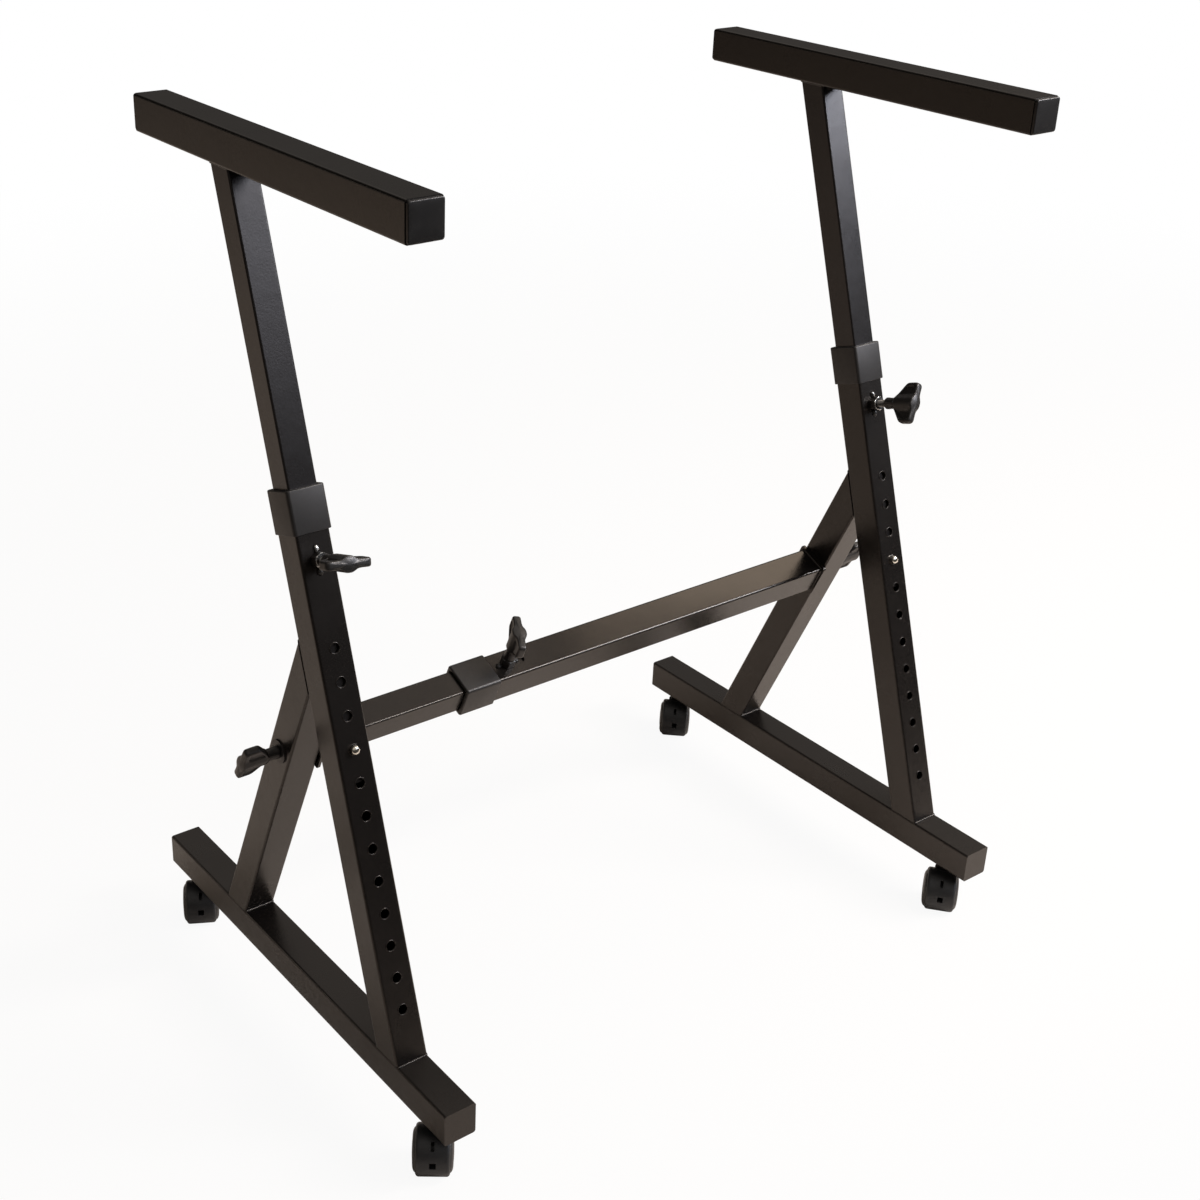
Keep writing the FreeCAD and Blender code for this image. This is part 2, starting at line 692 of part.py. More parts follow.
def build_bar():
    """Telescoping crossbar with its end plates, sleeve, nut, screw and knob."""
    inner = INNER_SIDE
    keep(tube("crossbar_inner_tube", BAR_ALONG, inner, "inner_wall", "inner_corner",
              ("-" + PLATE_FACE, "-" + PLATE_FACE), ("bar_inner_reach", "bar_inner_reach")))
    outer = tube("crossbar_outer_tube", BAR_ALONG, "tube_side", "tube_wall", "tube_corner",
                 ("-bar_outer_reach", "-bar_outer_reach"), (PLATE_FACE, PLATE_FACE))
    for name, spot in (("screw", BAR_KNOB_PLACE),
                       ("spare", "-(bar_outer_reach - bar_hole_inset)")):
        hole = circle(outer, "bar_{}_hole".format(name), "YZ_Plane", "0", spot, SCREW_HOLE)
        cut(outer, "bar_{}_way".format(name), hole, "tube_side", both=False)
    keep(outer)

    sleeve = body("crossbar_sleeve", BAR_ALONG)
    half = COLLAR_SIDE + " / 2"
    lip = "-(bar_outer_reach + sleeve_lip)"
    mouth = "(-bar_outer_reach + sleeve_cover)"
    stock = block(sleeve, "sleeve_stock", COLLAR_SIDE, "-" + half, half, lip, mouth)
    round_edges(sleeve, "sleeve_corners", stock, Vector(0, 0, 1), "collar_corner")
    cover(sleeve, "sleeve", lip, mouth, mouth, "-bar_outer_reach")
    keep(sleeve)

    tip = "-(tube_wall + slide_gap) + fit_gap"
    face = "nut_height + fit_gap"
    keep(nut("crossbar_nut", BAR_KNOB, "nut_across", "nut_height", NUT_BORE))
    keep(bar("crossbar_screw", BAR_KNOB, "screw_diameter", tip, face + " + knob_grip"))
    keep(wing_knob("crossbar_knob", chain(
        BAR_KNOB, place("0", "0", face, turn("z", "bar_knob_turn")))))

    for side in SIDE_X:
        where = STRUT_KNOB[side]
        plate = body(side + "_plate_sheet", where)
        half = "bar_plate_side / 2"
        sheet_metal = block(plate, side + "_plate_stock", "bar_plate_side", "-" + half, half,
                            "-(tube_side + bar_plate)", "-tube_side")
        round_edges(plate, side + "_plate_edges", sheet_metal, Vector(0, 0, 1), "plate_corner")
        hole = circle(plate, side + "_plate_hole", "XY_Plane", "0", "0", SCREW_HOLE)
        cut(plate, side + "_plate_way", hole, "2 * tube_side", both=False)
        hexagon = nut(side + "_plate_nut", where, "nut_across", "plate_nut", NUT_BORE,
                      "-(tube_side + bar_plate + plate_nut)")
        keep(group(side + "_crossbar_plate", [plate, hexagon]))


def build_caster(side, end):
    """One swivel caster: stem, hood, axle and two wheels."""
    name = "{}_{}".format(side, end)
    spot = "-(base_length / 2 - caster_front)" if end == "front" else "base_length / 2 - caster_back"
    ground = place(SIDE_X[side], spot, "0", turn("z", "-{}_turn".format(name)))
    top = "(hood_rise + fit_gap)"
    flange = "(hood_rise + fit_gap + stem_flange_depth)"
    stem = body(name + "_stem", ground)
    profile = outline(stem, name + "_stem_side", "XZ_Plane", [
        ("0", top + " - stem_depth"), ("stem_diameter / 2", top + " - stem_depth"),
        ("stem_diameter / 2", top), ("stem_flange / 2", top), ("stem_flange / 2", flange),
        ("stem_thread / 2", flange), ("stem_thread / 2", "caster_rise + stem_top"),
        ("0", "caster_rise + stem_top")])
    spin(stem, name + "_stem_turned", profile, "Z_Axis")
    keep(stem)

    hood = body(name + "_hood", ground)
    centre = ("-caster_trail", AXLE_RISE)

    def rim(radius, angle):
        """A point on a circle round the axle."""
        return ("{} + {} * cos({})".format(centre[0], radius, angle),
                "{} + {} * sin({})".format(centre[1], radius, angle))

    down = "180 + hood_drop"
    pie = outline(hood, name + "_hood_side", "YZ_Plane", [
        centre, rim(HOOD_OUTSIDE, "hood_back"), rim(HOOD_OUTSIDE, down)],
        {1: (centre[0], centre[1], True)})
    pad(hood, name + "_hood_stock", pie, "hood_width")
    ceiling = "hood_rise"
    boss = outline(hood, name + "_boss_side", "XZ_Plane", [
        ("0", AXLE_RISE), ("boss_diameter / 2", AXLE_RISE), ("boss_diameter / 2", ceiling),
        ("0", ceiling)])
    spin(hood, name + "_boss", boss, "Z_Axis")
    well = circle(hood, name + "_well_round", "YZ_Plane", centre[0], centre[1],
                  "2 * " + HOOD_INSIDE)
    cut(hood, name + "_well", well, "2 * hood_width")
    middle = "({} - hood_shell / 2)".format(HOOD_OUTSIDE)
    web = outline(hood, name + "_web_side", "YZ_Plane", [
        centre, rim(middle, "hood_back"), rim(middle, down)], {1: (centre[0], centre[1], True)})
    pad(hood, name + "_web", web, "web_width")
    ring = circle(hood, name + "_ring_round", "YZ_Plane", centre[0], centre[1], "2 * hub_ring")
    pad(hood, name + "_ring", ring, "web_width")
    bore = "(stem_diameter / 2 + screw_play)"
    floor = "({} - stem_depth - fit_gap)".format(top)
    socket = outline(hood, name + "_socket_side", "XZ_Plane", [
        ("0", floor), (bore, floor), (bore, ceiling + " + stem_depth"),
        ("0", ceiling + " + stem_depth")])
    groove(hood, name + "_socket", socket, "Z_Axis")
    pin = circle(hood, name + "_pin_round", "YZ_Plane", centre[0], centre[1], "axle_diameter")
    cut(hood, name + "_pin_way", pin, "2 * web_width")
    for kind in ("slot", "key_slot"):
        low = kind + "_rise"
        high = "{0}_rise + {0}_height".format(kind)
        front = "-(caster_trail + {})".format(HOOD_OUTSIDE)
        deep = "{} + {}_depth".format(front, kind)
        slot = outline(hood, "{}_{}_side".format(name, kind), "YZ_Plane", [
            (front, low), (deep, low), (deep, high), (front, high)])
        cut(hood, "{}_{}".format(name, kind), slot, kind + "_width")
    keep(hood)

    axle_at = chain(ground, place("0", centre[0], centre[1], turn("y", "90")))
    keep(bar(name + "_axle", axle_at, "axle_diameter", "-axle_reach", "axle_reach"))
    for hand, spin_way in (("inner", "90"), ("outer", "-90")):
        where = chain(ground, place("0", centre[0], centre[1], turn("y", spin_way)))
        keep(wheel("{}_wheel_{}".format(name, hand), where))


def wheel(label, where):
    """Build a wheel along the placement's z axis: tread, bevelled rims, domed outer side."""
    item = body(label, where)
    rim = "wheel_diameter / 2"
    bore = "(axle_diameter / 2 + screw_play)"
    profile = outline(item, label + "_side", "XZ_Plane", [
        (bore, "wheel_inset"), (rim + " - wheel_bevel", "wheel_inset"),
        (rim, "wheel_inset + wheel_bevel"), (rim, "wheel_tread"), ("wheel_face", "wheel_reach"),
        ("0", "wheel_reach"), ("0", "axle_reach + fit_gap"), (bore, "axle_reach + fit_gap")])
    spin(item, label + "_turned", profile, "Z_Axis")
    return item


for frame_side in SIDE_X:
    build_base(frame_side)
    build_upright(frame_side)
    build_strut(frame_side)
    build_inner(frame_side)
    build_hardware(frame_side)
build_bar()
for frame_side in SIDE_X:
    for frame_end in ("front", "back"):
        build_caster(frame_side, frame_end)
doc.recompute()

for item in doc.Objects:
    if "Invalid" in item.State or "Error" in item.State:
        raise RuntimeError("{} did not build: {}".format(item.Label, item.State))
os.makedirs("parts", exist_ok=True)
for label, item in nodes.items():
    shape = item.Shape
    if shape.isNull() or not shape.isValid() or not shape.Solids:
        raise RuntimeError("{} has no sound shape".format(label))
    shape.exportStep(os.path.join("parts", label + ".step"))
print("{} pieces".format(len(nodes)))
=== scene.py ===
"""Dress a two-sided keyboard stand on casters.

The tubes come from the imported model. This script gives them a satin black powder coat and adds the
small parts whose form the coat and the light bring out: weld beads, threaded screws, wing knobs,
nuts, plastic collars, arm caps, spring buttons and the four twin-wheel casters.

Sizes inside the classes are in millimetres, and the mesh builder turns them into metres.
"""

import logging
import math
from collections.abc import Callable, Iterable, Sequence
from dataclasses import dataclass
from enum import Enum

import bpy
import numpy as np
from bpy.types import Material, NodeSocket, NodeTree
from mathutils import Matrix, Vector
from numpy import ndarray


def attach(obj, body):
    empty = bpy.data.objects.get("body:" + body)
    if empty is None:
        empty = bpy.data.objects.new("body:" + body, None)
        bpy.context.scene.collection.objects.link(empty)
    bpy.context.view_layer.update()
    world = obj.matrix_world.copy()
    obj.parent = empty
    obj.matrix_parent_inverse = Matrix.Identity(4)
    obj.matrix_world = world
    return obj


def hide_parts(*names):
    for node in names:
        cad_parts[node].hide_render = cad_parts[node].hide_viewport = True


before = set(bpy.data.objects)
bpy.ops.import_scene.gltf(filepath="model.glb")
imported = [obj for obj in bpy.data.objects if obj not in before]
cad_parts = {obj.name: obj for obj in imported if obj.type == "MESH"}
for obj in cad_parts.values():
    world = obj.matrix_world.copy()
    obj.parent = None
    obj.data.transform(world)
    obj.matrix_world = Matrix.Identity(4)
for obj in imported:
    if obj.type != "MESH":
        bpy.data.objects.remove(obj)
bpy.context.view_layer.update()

MM = 0.001
Triple = tuple[float, float, float]
Patches = tuple[float, float, float, float, float]
log = logging.getLogger("keyboard_stand")


class Place(Enum):
    """A place on the stand, by its sign along one direction."""

    @property
    def word(self) -> str:
        """The place's name in node and body names."""
        return self.name.lower()


class Side(Place):
    """The two frames of the stand, along x."""

    LEFT = -1
    RIGHT = 1


class End(Place):
    """The two ends of a base tube, along y."""

    FRONT = -1
    BACK = 1


class Hand(Place):
    """The two wheels of a caster, along its axle."""

    INNER = 1
    OUTER = -1


class Slot(Enum):
    """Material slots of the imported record."""

    COAT = "powder_coat"
    PLASTIC = "black_plastic"
    HOOD = "hood_plastic"
    WHEEL = "wheel_plastic"
    STEEL = "zinc_steel"
    NICKEL = "button_nickel"


class Crease(Enum):
    """Degrees that an edge has to turn by to stay sharp."""

    NUT = 25.0
    MOULDED = 30.0
    HOOD = 32.0
    OTHER = 38.0
    THREAD = 50.0
    WELD = 60.0


# Places

class Axes:
    """A local frame in millimetres, moved and turned step by step from the row frame."""

    def __init__(self, matrix: ndarray | None = None) -> None:
        """Start from a 4 by 4 matrix, or from the row frame."""
        self.matrix = np.eye(4) if matrix is None else matrix

    def shift(self, x: float = 0.0, y: float = 0.0, z: float = 0.0) -> "Axes":
        """Move the frame along its own axes.

        Args:
            x: way along its x.
            y: way along its y.
            z: way along its z.

        Returns:
            The moved frame.
        """
        step = np.eye(4)
        step[:3, 3] = (x, y, z)
        return Axes(self.matrix @ step)

    def turn(self, axis: str, degrees: float) -> "Axes":
        """Return this frame turned about one of its own axes."""
        return Axes(self.matrix @ np.array(Matrix.Rotation(math.radians(degrees), 4, axis.upper())))

    def points(self, local: ndarray) -> ndarray:
        """Return local points in the row frame."""
        return local @ self.matrix[:3, :3].T + self.matrix[:3, 3]


@dataclass(frozen=True)
class Layout:
    """Sizes of the welded frames, and the local frames that the small parts stand in."""

    tube: float = 35.0
    inner: float = 30.0
    frame_x: float = 357.5
    base_top: float = 92.7
    base_half: float = 270.0
    caster_rise: float = 57.7
    front_inset: float = 43.0
    back_inset: float = 30.0
    upright_lean: float = 18.0
    upright_foot: float = 172.9
    outer_length: float = 548.0
    inner_top: float = 836.3
    button_place: float = 305.5
    hole_start: float = 47.9
    hole_pitch: float = 32.2
    hole_count: int = 12
    knob_drop: float = 63.7
    strut_lean: float = 23.6
    strut_foot: float = 119.8
    bar_height: float = 267.4
    bar_knob: float = 108.0

    def standing(self, side: Side, y: float, lean: float) -> Axes:
        """Frame of a tube on the base: z up the tube, from where its axis meets the base."""
        return Axes().shift(side.value * self.frame_x, y, self.base_top).turn("x", lean)

    def upright(self, side: Side) -> Axes:
        """Frame of a leaning upright."""
        return self.standing(side, -self.upright_foot, -self.upright_lean)

    def strut(self, side: Side) -> Axes:
        """Frame of a strut."""
        return self.standing(side, self.strut_foot, self.strut_lean)

    def base(self, side: Side) -> Axes:
        """Frame of a base tube: z towards the back, from the tube's middle."""
        return Axes().shift(
            side.value * self.frame_x, 0.0, self.caster_rise + self.tube / 2).turn("x", -90.0)

    def arm(self, side: Side) -> Axes:
        """Frame of an arm: z towards the back, from above the upright's axis."""
        lean = math.radians(self.upright_lean)
        return Axes().shift(
            side.value * self.frame_x,
            self.inner_top * math.sin(lean) - self.upright_foot,
            self.base_top + self.inner_top * math.cos(lean) + self.tube / 2).turn("x", -90.0)

    def bar(self) -> Axes:
        """Frame of the crossbar: x along it, y and z square to its faces."""
        lean = math.radians(self.strut_lean)
        return Axes().shift(
            0.0, self.strut_foot - self.bar_height * math.sin(lean),
            self.base_top + self.bar_height * math.cos(lean)).turn("x", self.strut_lean)

    def height_screw(self, side: Side) -> Axes:
        """Frame of a height screw: z out of the upright's front face, y up the tube."""
        return self.upright(side).shift(
            0.0, -self.tube / 2, self.outer_length - self.knob_drop).turn("x", 90.0)

    def strut_screw(self, side: Side) -> Axes:
        """Frame of a strut screw: z out of the strut's outer side."""
        return self.strut(side).shift(side.value * self.tube / 2, 0.0, self.bar_height).turn(
            "y", side.value * 90.0)

    def bar_screw(self) -> Axes:
        """Frame of the crossbar's screw: z out of the bar's top face."""
        return self.bar().shift(-self.bar_knob, 0.0, self.tube / 2)

    def caster(self, side: Side, end: End, swivel: float = 0.0) -> Axes:
        """Frame of a caster on the floor under its stem; its wheels trail against y."""
        inset = self.front_inset if end is End.FRONT else self.back_inset
        return Axes().shift(
            side.value * self.frame_x, end.value * (self.base_half - inset), 0.0).turn("z", -swivel)


# Surfaces

@dataclass
class Skin:
    """One closed surface: points, quads, triangles and how rubbed each point is."""

    points: ndarray
    quads: ndarray
    triangles: ndarray
    rub: ndarray

    def outward(self) -> "Skin":
        """Turn the faces outwards.

        The signed volume under the faces, a sixth of each triangle's triple product added up,
        is negative where they point inwards.

        Returns:
            The surface, turned inside out where that volume is negative.
        """
        faces = np.vstack([self.quads[:, :3], self.quads[:, [0, 2, 3]], self.triangles])
        a, b, c = (self.points[faces[:, k]] for k in range(3))
        if np.einsum("ij,ij->", a, np.cross(b, c)) < 0:
            return Skin(self.points, self.quads[:, ::-1], self.triangles[:, ::-1], self.rub)
        return self

    def placed(self, axes: Axes) -> "Skin":
        """Return the surface in the row frame."""
        return Skin(axes.points(self.points), self.quads, self.triangles, self.rub)


def lengths(vectors: ndarray) -> ndarray:
    """Return the lengths of vectors, kept as a last axis of one."""
    return np.linalg.norm(vectors, axis=-1, keepdims=True)


def rounded_square(half: float, corner: float, half_y: float | None = None, arc: int = 6) -> ndarray:
    """Make a square or rectangle about the origin with rounded corners.

    Each corner is a quarter circle about the point that lies its radius in from both sides.

    Args:
        half: half its side along x.
        corner: the quarter circles' radius.
        half_y: half its side along y, or None for a square.
        arc: steps in each quarter circle.

    Returns:
        The outline's points in order.
    """
    tall = half if half_y is None else half_y
    centre = np.array([(1, 1), (-1, 1), (-1, -1), (1, -1)]) * (half - corner, tall - corner)
    angle = np.arange(4)[:, None] * np.pi / 2 + np.linspace(0, np.pi / 2, arc + 1)
    spokes = np.stack([np.cos(angle), np.sin(angle)], -1)
    return (centre[:, None] + corner * spokes).reshape(-1, 2)


def lifted(loops: ndarray, heights: Sequence[float]) -> ndarray:
    """Return rows of flat loops with a height added to each row's points."""
    tall = np.broadcast_to(np.reshape(heights, (-1, 1, 1)), (*loops.shape[:2], 1))
    return np.concatenate([loops, tall], -1)


def stacked(halves: Sequence[float], corners: Sequence[float], heights: Sequence[float]) -> ndarray:
    """Return rows of rounded squares, by half side, corner radius and height."""
    loops = [rounded_square(half, corner) for half, corner in zip(halves, corners)]
    return lifted(np.stack(loops), heights)


def round_axis(radius: ndarray, angle: ndarray, height: ndarray) -> ndarray:
    """Return the points (radius cos angle, radius sin angle, height)."""
    return np.stack(np.broadcast_arrays(radius * np.cos(angle), radius * np.sin(angle), height), -1)


def circle(steps: int) -> ndarray:
    """Return the angles of even steps round a circle."""
    return np.arange(steps) * 2 * np.pi / steps


def resample(path: ndarray, step: float) -> ndarray:
    """Space a closed path's points evenly by its run, the lengths of its steps added up.

    Args:
        path: the path's points.
        step: about how far apart the new points lie.

    Returns:
        The new points.
    """
    loop = np.vstack([path, path[:1]])
    run = np.concatenate([[0.0], np.cumsum(lengths(np.diff(loop, axis=0)).ravel())])
    count = max(8, round(run[-1] / step))
    spots = np.arange(count) * run[-1] / count
    return np.stack([np.interp(spots, run, loop[:, k]) for k in range(path.shape[1])], axis=1)


def skin(grid: ndarray, ring: bool = False, rub: Sequence[float] | None = None) -> Skin:
    """Close a grid of points, row after row of a loop, into one surface.

    Args:
        grid: points, rows by columns by 3; each row is a loop.
        ring: True if the last row joins the first; otherwise a fan from each end row's
            middle closes it.
        rub: how rubbed each row is, from 0 to 1.

    Returns:
        The surface with its faces outwards.
    """
    rows, columns = grid.shape[:2]
    row, column = np.meshgrid(
        np.arange(rows if ring else rows - 1), np.arange(columns), indexing="ij")
    below, right = (row + 1) % rows, (column + 1) % columns
    quads = np.stack([row * columns + column, row * columns + right,
                      below * columns + right, below * columns + column], -1).reshape(-1, 4)
    points = grid.reshape(-1, 3)
    worn = np.repeat(np.zeros(rows) if rub is None else np.asarray(rub, float), columns)
    fans = np.zeros((0, 3), int)
    if not ring:
        count = len(points)
        here = np.arange(columns)
        ahead = (here + 1) % columns
        last = count - columns
        fans = np.vstack([
            np.stack([ahead, here, np.full(columns, count)], 1),
            np.stack([last + here, last + ahead, np.full(columns, count + 1)], 1)])
        points = np.vstack([points, grid[0].mean(0), grid[-1].mean(0)])
        worn = np.append(worn, [worn[0], worn[-1]])
    return Skin(points, quads, fans, worn).outward()


def turned(profile: Sequence[tuple[float, float]], segments: int,
           rub: Sequence[float] | None = None) -> Skin:
    """Turn a profile of radius and height about z, with how rubbed each of its points is."""
    radius, height = np.asarray(profile, float).T[..., None]
    return skin(round_axis(radius, circle(segments), height), rub=rub)


def cut_shell(outer: ndarray, inner: ndarray, keep: ndarray, ring: bool = False) -> Skin:
    """Close the space between two grids of points, leaving out some of its cells.

    The kept cells make both walls, and each cell edge with no kept cell beyond it makes a quad
    between the walls, so that a window in the shell has real sides.

    Args:
        outer: points of the outer wall, rows by columns by 3.
        inner: points of the inner wall.
        keep: which cells stay, rows - 1 by columns - 1, or by columns for a ring.
        ring: True if the last column joins the first.

    Returns:
        The closed shell.
    """
    rows, columns = outer.shape[:2]
    number = np.arange(rows * columns).reshape(rows, columns)
    if ring:
        number = np.concatenate([number, number[:, :1]], axis=1)
    corner = (number[:-1, :-1], number[:-1, 1:], number[1:, 1:], number[1:, :-1])
    wall = np.stack(corner, -1)[keep]
    deep = rows * columns
    around = np.pad(keep, ((1, 1), (0, 0)))
    around = np.pad(around, ((0, 0), (1, 1)), mode="wrap" if ring else "constant")
    beyond = (around[:-2, 1:-1], around[1:-1, 2:], around[2:, 1:-1], around[1:-1, :-2])
    sides = []
    for edge in range(4):
        open_edge = keep & ~beyond[edge]
        near, far = corner[edge][open_edge], corner[(edge + 1) % 4][open_edge]
        sides.append(np.stack([far, near, near + deep, far + deep], -1))
    quads = np.vstack([wall, wall[:, ::-1] + deep, *sides])
    used, packed = np.unique(quads, return_inverse=True)
    points = np.vstack([outer.reshape(-1, 3), inner.reshape(-1, 3)])[used]
    return Skin(points, packed.reshape(quads.shape), np.zeros((0, 3), int),
                np.zeros(len(points))).outward()


# Shader maths

def operator(operation: str, reflected: bool = False) -> "Callable[[Value, Value | float], Value]":
    """Make a method of Value that adds one Math node.

    Args:
        operation: the node's operation.
        reflected: True where the other value stands on the left.

    Returns:
        The method.
    """
    def method(self: "Value", other: "Value | float") -> "Value":
        """Add the node."""
        return self.nodes.math(operation, *((other, self) if reflected else (self, other)))

    return method


class Value:
    """A shader socket with Python's operators, each of which adds one Math node."""

    def __init__(self, nodes: "Nodes", socket: NodeSocket | None) -> None:
        """Hold the node tree and the socket that the value comes from, if there is one."""
        self.nodes = nodes
        self.socket = socket

    __add__ = __radd__ = operator("ADD")
    __mul__ = __rmul__ = operator("MULTIPLY")
    __sub__ = operator("SUBTRACT")
    __rsub__ = operator("SUBTRACT", reflected=True)
    lower = operator("MINIMUM")
    higher = operator("MAXIMUM")

    def __abs__(self) -> "Value":
        """Drop the sign."""
        return self.nodes.math("ABSOLUTE", self)

    def step(self, low: float, high: float) -> "Value":
        """Return a smooth rise from 0 at low to 1 at high."""
        return self.nodes.node(
            "ShaderNodeMapRange", {"Value": self, "From Min": low, "From Max": high},
            settings={"interpolation_type": "SMOOTHSTEP"})


Input = Value | float | Sequence[float]


class Nodes:
    """A node tree, and the one way in which its nodes are made."""

    def __init__(self, tree: NodeTree) -> None:
        """Start with an empty tree."""
        self.tree = tree
        tree.nodes.clear()

    def node(self, kind: str, inputs: dict[str | int, Input] | None = None,
             output: str | int = 0, settings: dict[str, object] | None = None,
             stops: Sequence[tuple[float, Triple]] = ()) -> Value:
        """Add a node.

        Args:
            kind: the node's type.
            inputs: values or links for its sockets.
            output: the socket to return.
            settings: the node's own settings, set first.
            stops: place and colour of each stop of a ramp, which starts with two.

        Returns:
            The output, without a socket where the node has none.
        """
        made = self.tree.nodes.new(kind)
        for name, value in (settings or {}).items():
            setattr(made, name, value)
        for number, (place, colour) in enumerate(stops):
            elements = made.color_ramp.elements
            stop = elements[number] if number < 2 else elements.new(place)
            stop.position = place
            stop.color = (*colour, 1.0)
        for name, value in (inputs or {}).items():
            self.feed(made.inputs[name], value)
        return Value(self, made.outputs[output] if made.outputs else None)

    def feed(self, socket: NodeSocket, value: Input) -> None:
        """Link a value to a socket, or set the number or colour on it.

        Args:
            socket: the socket.
            value: the value, number or colour.
        """
        if isinstance(value, Value):
            self.tree.links.new(value.socket, socket)
        else:
            socket.default_value = (*value, 1.0) if socket.type == "RGBA" else value

    def math(self, operation: str, *terms: Input) -> Value:
        """Add a Math node."""
        return self.node("ShaderNodeMath", dict(enumerate(terms)), settings={"operation": operation})

    def blend(self, share: Value, first: Input, second: Input) -> Value:
        """Mix two colours."""
        return self.node("ShaderNodeMix", {0: share, 6: first, 7: second}, output=2,
                         settings={"data_type": "RGBA"})

    def part(self, vector: Value, axis: str) -> Value:
        """Return one component of a vector."""
        return self.node("ShaderNodeSeparateXYZ", {"Vector": vector}, output=axis)

    def seen(self) -> Value:
        """Return 1 where the camera looks straight at the surface, and otherwise 0."""
        return self.node("ShaderNodeLightPath", output="Is Camera Ray")

    def close(self, shader: Value, output: str = "ShaderNodeOutputMaterial") -> None:
        """Link the shader to the tree's output node."""
        self.node(output, {"Surface": shader})


class Paint(Nodes):
    """A material."""

    def __init__(self, name: str) -> None:
        """Start an empty material.

        Args:
            name: the material's name.
        """
        self.material = bpy.data.materials.new(name)
        self.material.use_nodes = True
        super().__init__(self.material.node_tree)
        self.place = self.node("ShaderNodeTexCoord", output="Object")

    def noise(self, size: float, detail: float = 3.0, rough: float = 0.5) -> Value:
        """Add cloudy noise from 0 to 1.

        Args:
            size: how far across its patches are, in metres.
            detail: how many finer layers it has.
            rough: how strong the finer layers are.

        Returns:
            The noise.
        """
        return self.node("ShaderNodeTexNoise", {
            "Vector": self.place, "Scale": 1.0 / size, "Detail": detail, "Roughness": rough},
            output="Fac")

    def patches(self, size: float, detail: float, rough: float, low: float, high: float) -> Value:
        """Return noise cut into patches, which start at its level low and are full at high."""
        return self.noise(size, detail, rough).step(low, high)

    def rub(self) -> Value:
        """Return how rubbed the piece's surface is, from its own attribute."""
        return self.node("ShaderNodeAttribute", output="Fac", settings={"attribute_name": "rub"})

    def along(self, axes: Axes) -> Value:
        """Return Object coordinates turned and centred on a local frame."""
        turn = Matrix(axes.matrix.tolist()).to_euler()
        return self.node("ShaderNodeMapping", {
            "Vector": self.place, "Location": axes.matrix[:3, 3] * MM, "Rotation": turn},
            settings={"vector_type": "TEXTURE"})

    def finish(self, inputs: dict[str, Input],
               *bumps: tuple[Value, float]) -> Material:
        """Close the material with its shader.

        Args:
            inputs: links and constants for the shader's sockets.
            bumps: heights from 0 to 1 and the depth of each in metres.

        Returns:
            The material.
        """
        normal = {}
        for height, depth in bumps:
            normal = {"Normal": self.node(
                "ShaderNodeBump", {"Height": height, "Distance": depth, "Strength": 1.0, **normal},
                output="Normal")}
        self.close(self.node("ShaderNodeBsdfPrincipled", {**inputs, **normal}))
        return self.material


# Finishes

@dataclass(frozen=True)
class PowderCoat:
    """Satin black powder coat: fine orange peel, cloudy gloss, and edges rubbed a little bright.

    Here and in the finishes below, a noise's three numbers are its size in metres, its detail
    and its roughness. Patches have two more, the noise's levels where they start and are full.
    """

    name: str = "powder_coat"
    tone: Triple = (0.0034, 0.0028, 0.0026)
    dusty: Triple = (0.0090, 0.0074, 0.0067)
    rubbed: Triple = (0.0200, 0.0170, 0.0150)
    tint: Triple = (1.0, 0.895, 0.82)
    gloss: float = 0.285
    cloud: Triple = (0.085, 4.0, 0.6)
    peel: Triple = (0.0017, 2.0, 0.55)
    grain: Triple = (0.0005, 2.0, 0.6)
    dust: Patches = (0.019, 5.0, 0.7, 0.56, 0.82)
    dust_share: float = 0.6
    chips: Patches = (0.012, 3.0, 0.6, 0.38, 0.66)
    chips_share: float = 0.6
    rubbed_band: tuple[float, float] = (1.6, 0.2)

    def make(self, axes: Axes | None = None, half: float = 0.0) -> Material:
        """Make the finish.

        Args:
            axes: frame of the square tube that it covers, with z along the tube, to find its
                edges; None for small parts.
            half: half the tube's side in millimetres.

        Returns:
            The material.
        """
        paint = Paint(self.name)
        cloud, peel, grain = (paint.noise(*each) for each in (self.cloud, self.peel, self.grain))
        dust = paint.patches(*self.dust) * self.dust_share
        colour = paint.blend(dust, self.tone, self.dusty)
        rough = self.gloss + (cloud - 0.5) * 0.10 + (grain - 0.5) * 0.05
        if axes is not None:
            local = paint.along(axes)
            near = abs(paint.part(local, "X")).lower(abs(paint.part(local, "Y")))
            edge = near.step(*((half - inset) * MM for inset in self.rubbed_band))
            edge = edge * paint.patches(*self.chips)
            colour = paint.blend(edge * self.chips_share, colour, self.rubbed)
            rough = rough - edge * 0.04
        return paint.finish({"Base Color": colour, "Roughness": rough, "Specular Tint": self.tint},
                            (peel, 0.00006), (cloud, 0.0004))


@dataclass(frozen=True)
class MouldedPlastic:
    """Moulded plastic with a fine spark-eroded grain and polished high spots."""

    name: str
    tone: Triple = (0.0100, 0.0096, 0.0094)
    worn: Triple = (0.0300, 0.0290, 0.0285)
    gloss: float = 0.47
    grain: float = 0.0007
    tint: Triple = (1.0, 0.93, 0.90)
    flow: Triple = (0.016, 4.0, 0.6)
    spots: Patches = (0.004, 3.0, 0.6, 0.3, 0.6)

    def make(self) -> Material:
        """Make the finish.

        Returns:
            The material.
        """
        paint = Paint(self.name)
        grain = paint.noise(self.grain, 3.0, 0.65)
        flow = paint.noise(*self.flow)
        rub = paint.rub() * paint.patches(*self.spots)
        colour = paint.blend(flow.step(0.5, 0.8) * 0.25 + rub * 0.6, self.tone, self.worn)
        rough = self.gloss + (flow - 0.5) * 0.08 + (grain - 0.5) * 0.10 - rub * 0.10
        return paint.finish({"Base Color": colour, "Roughness": rough, "Specular Tint": self.tint},
                            (grain, 0.00005))


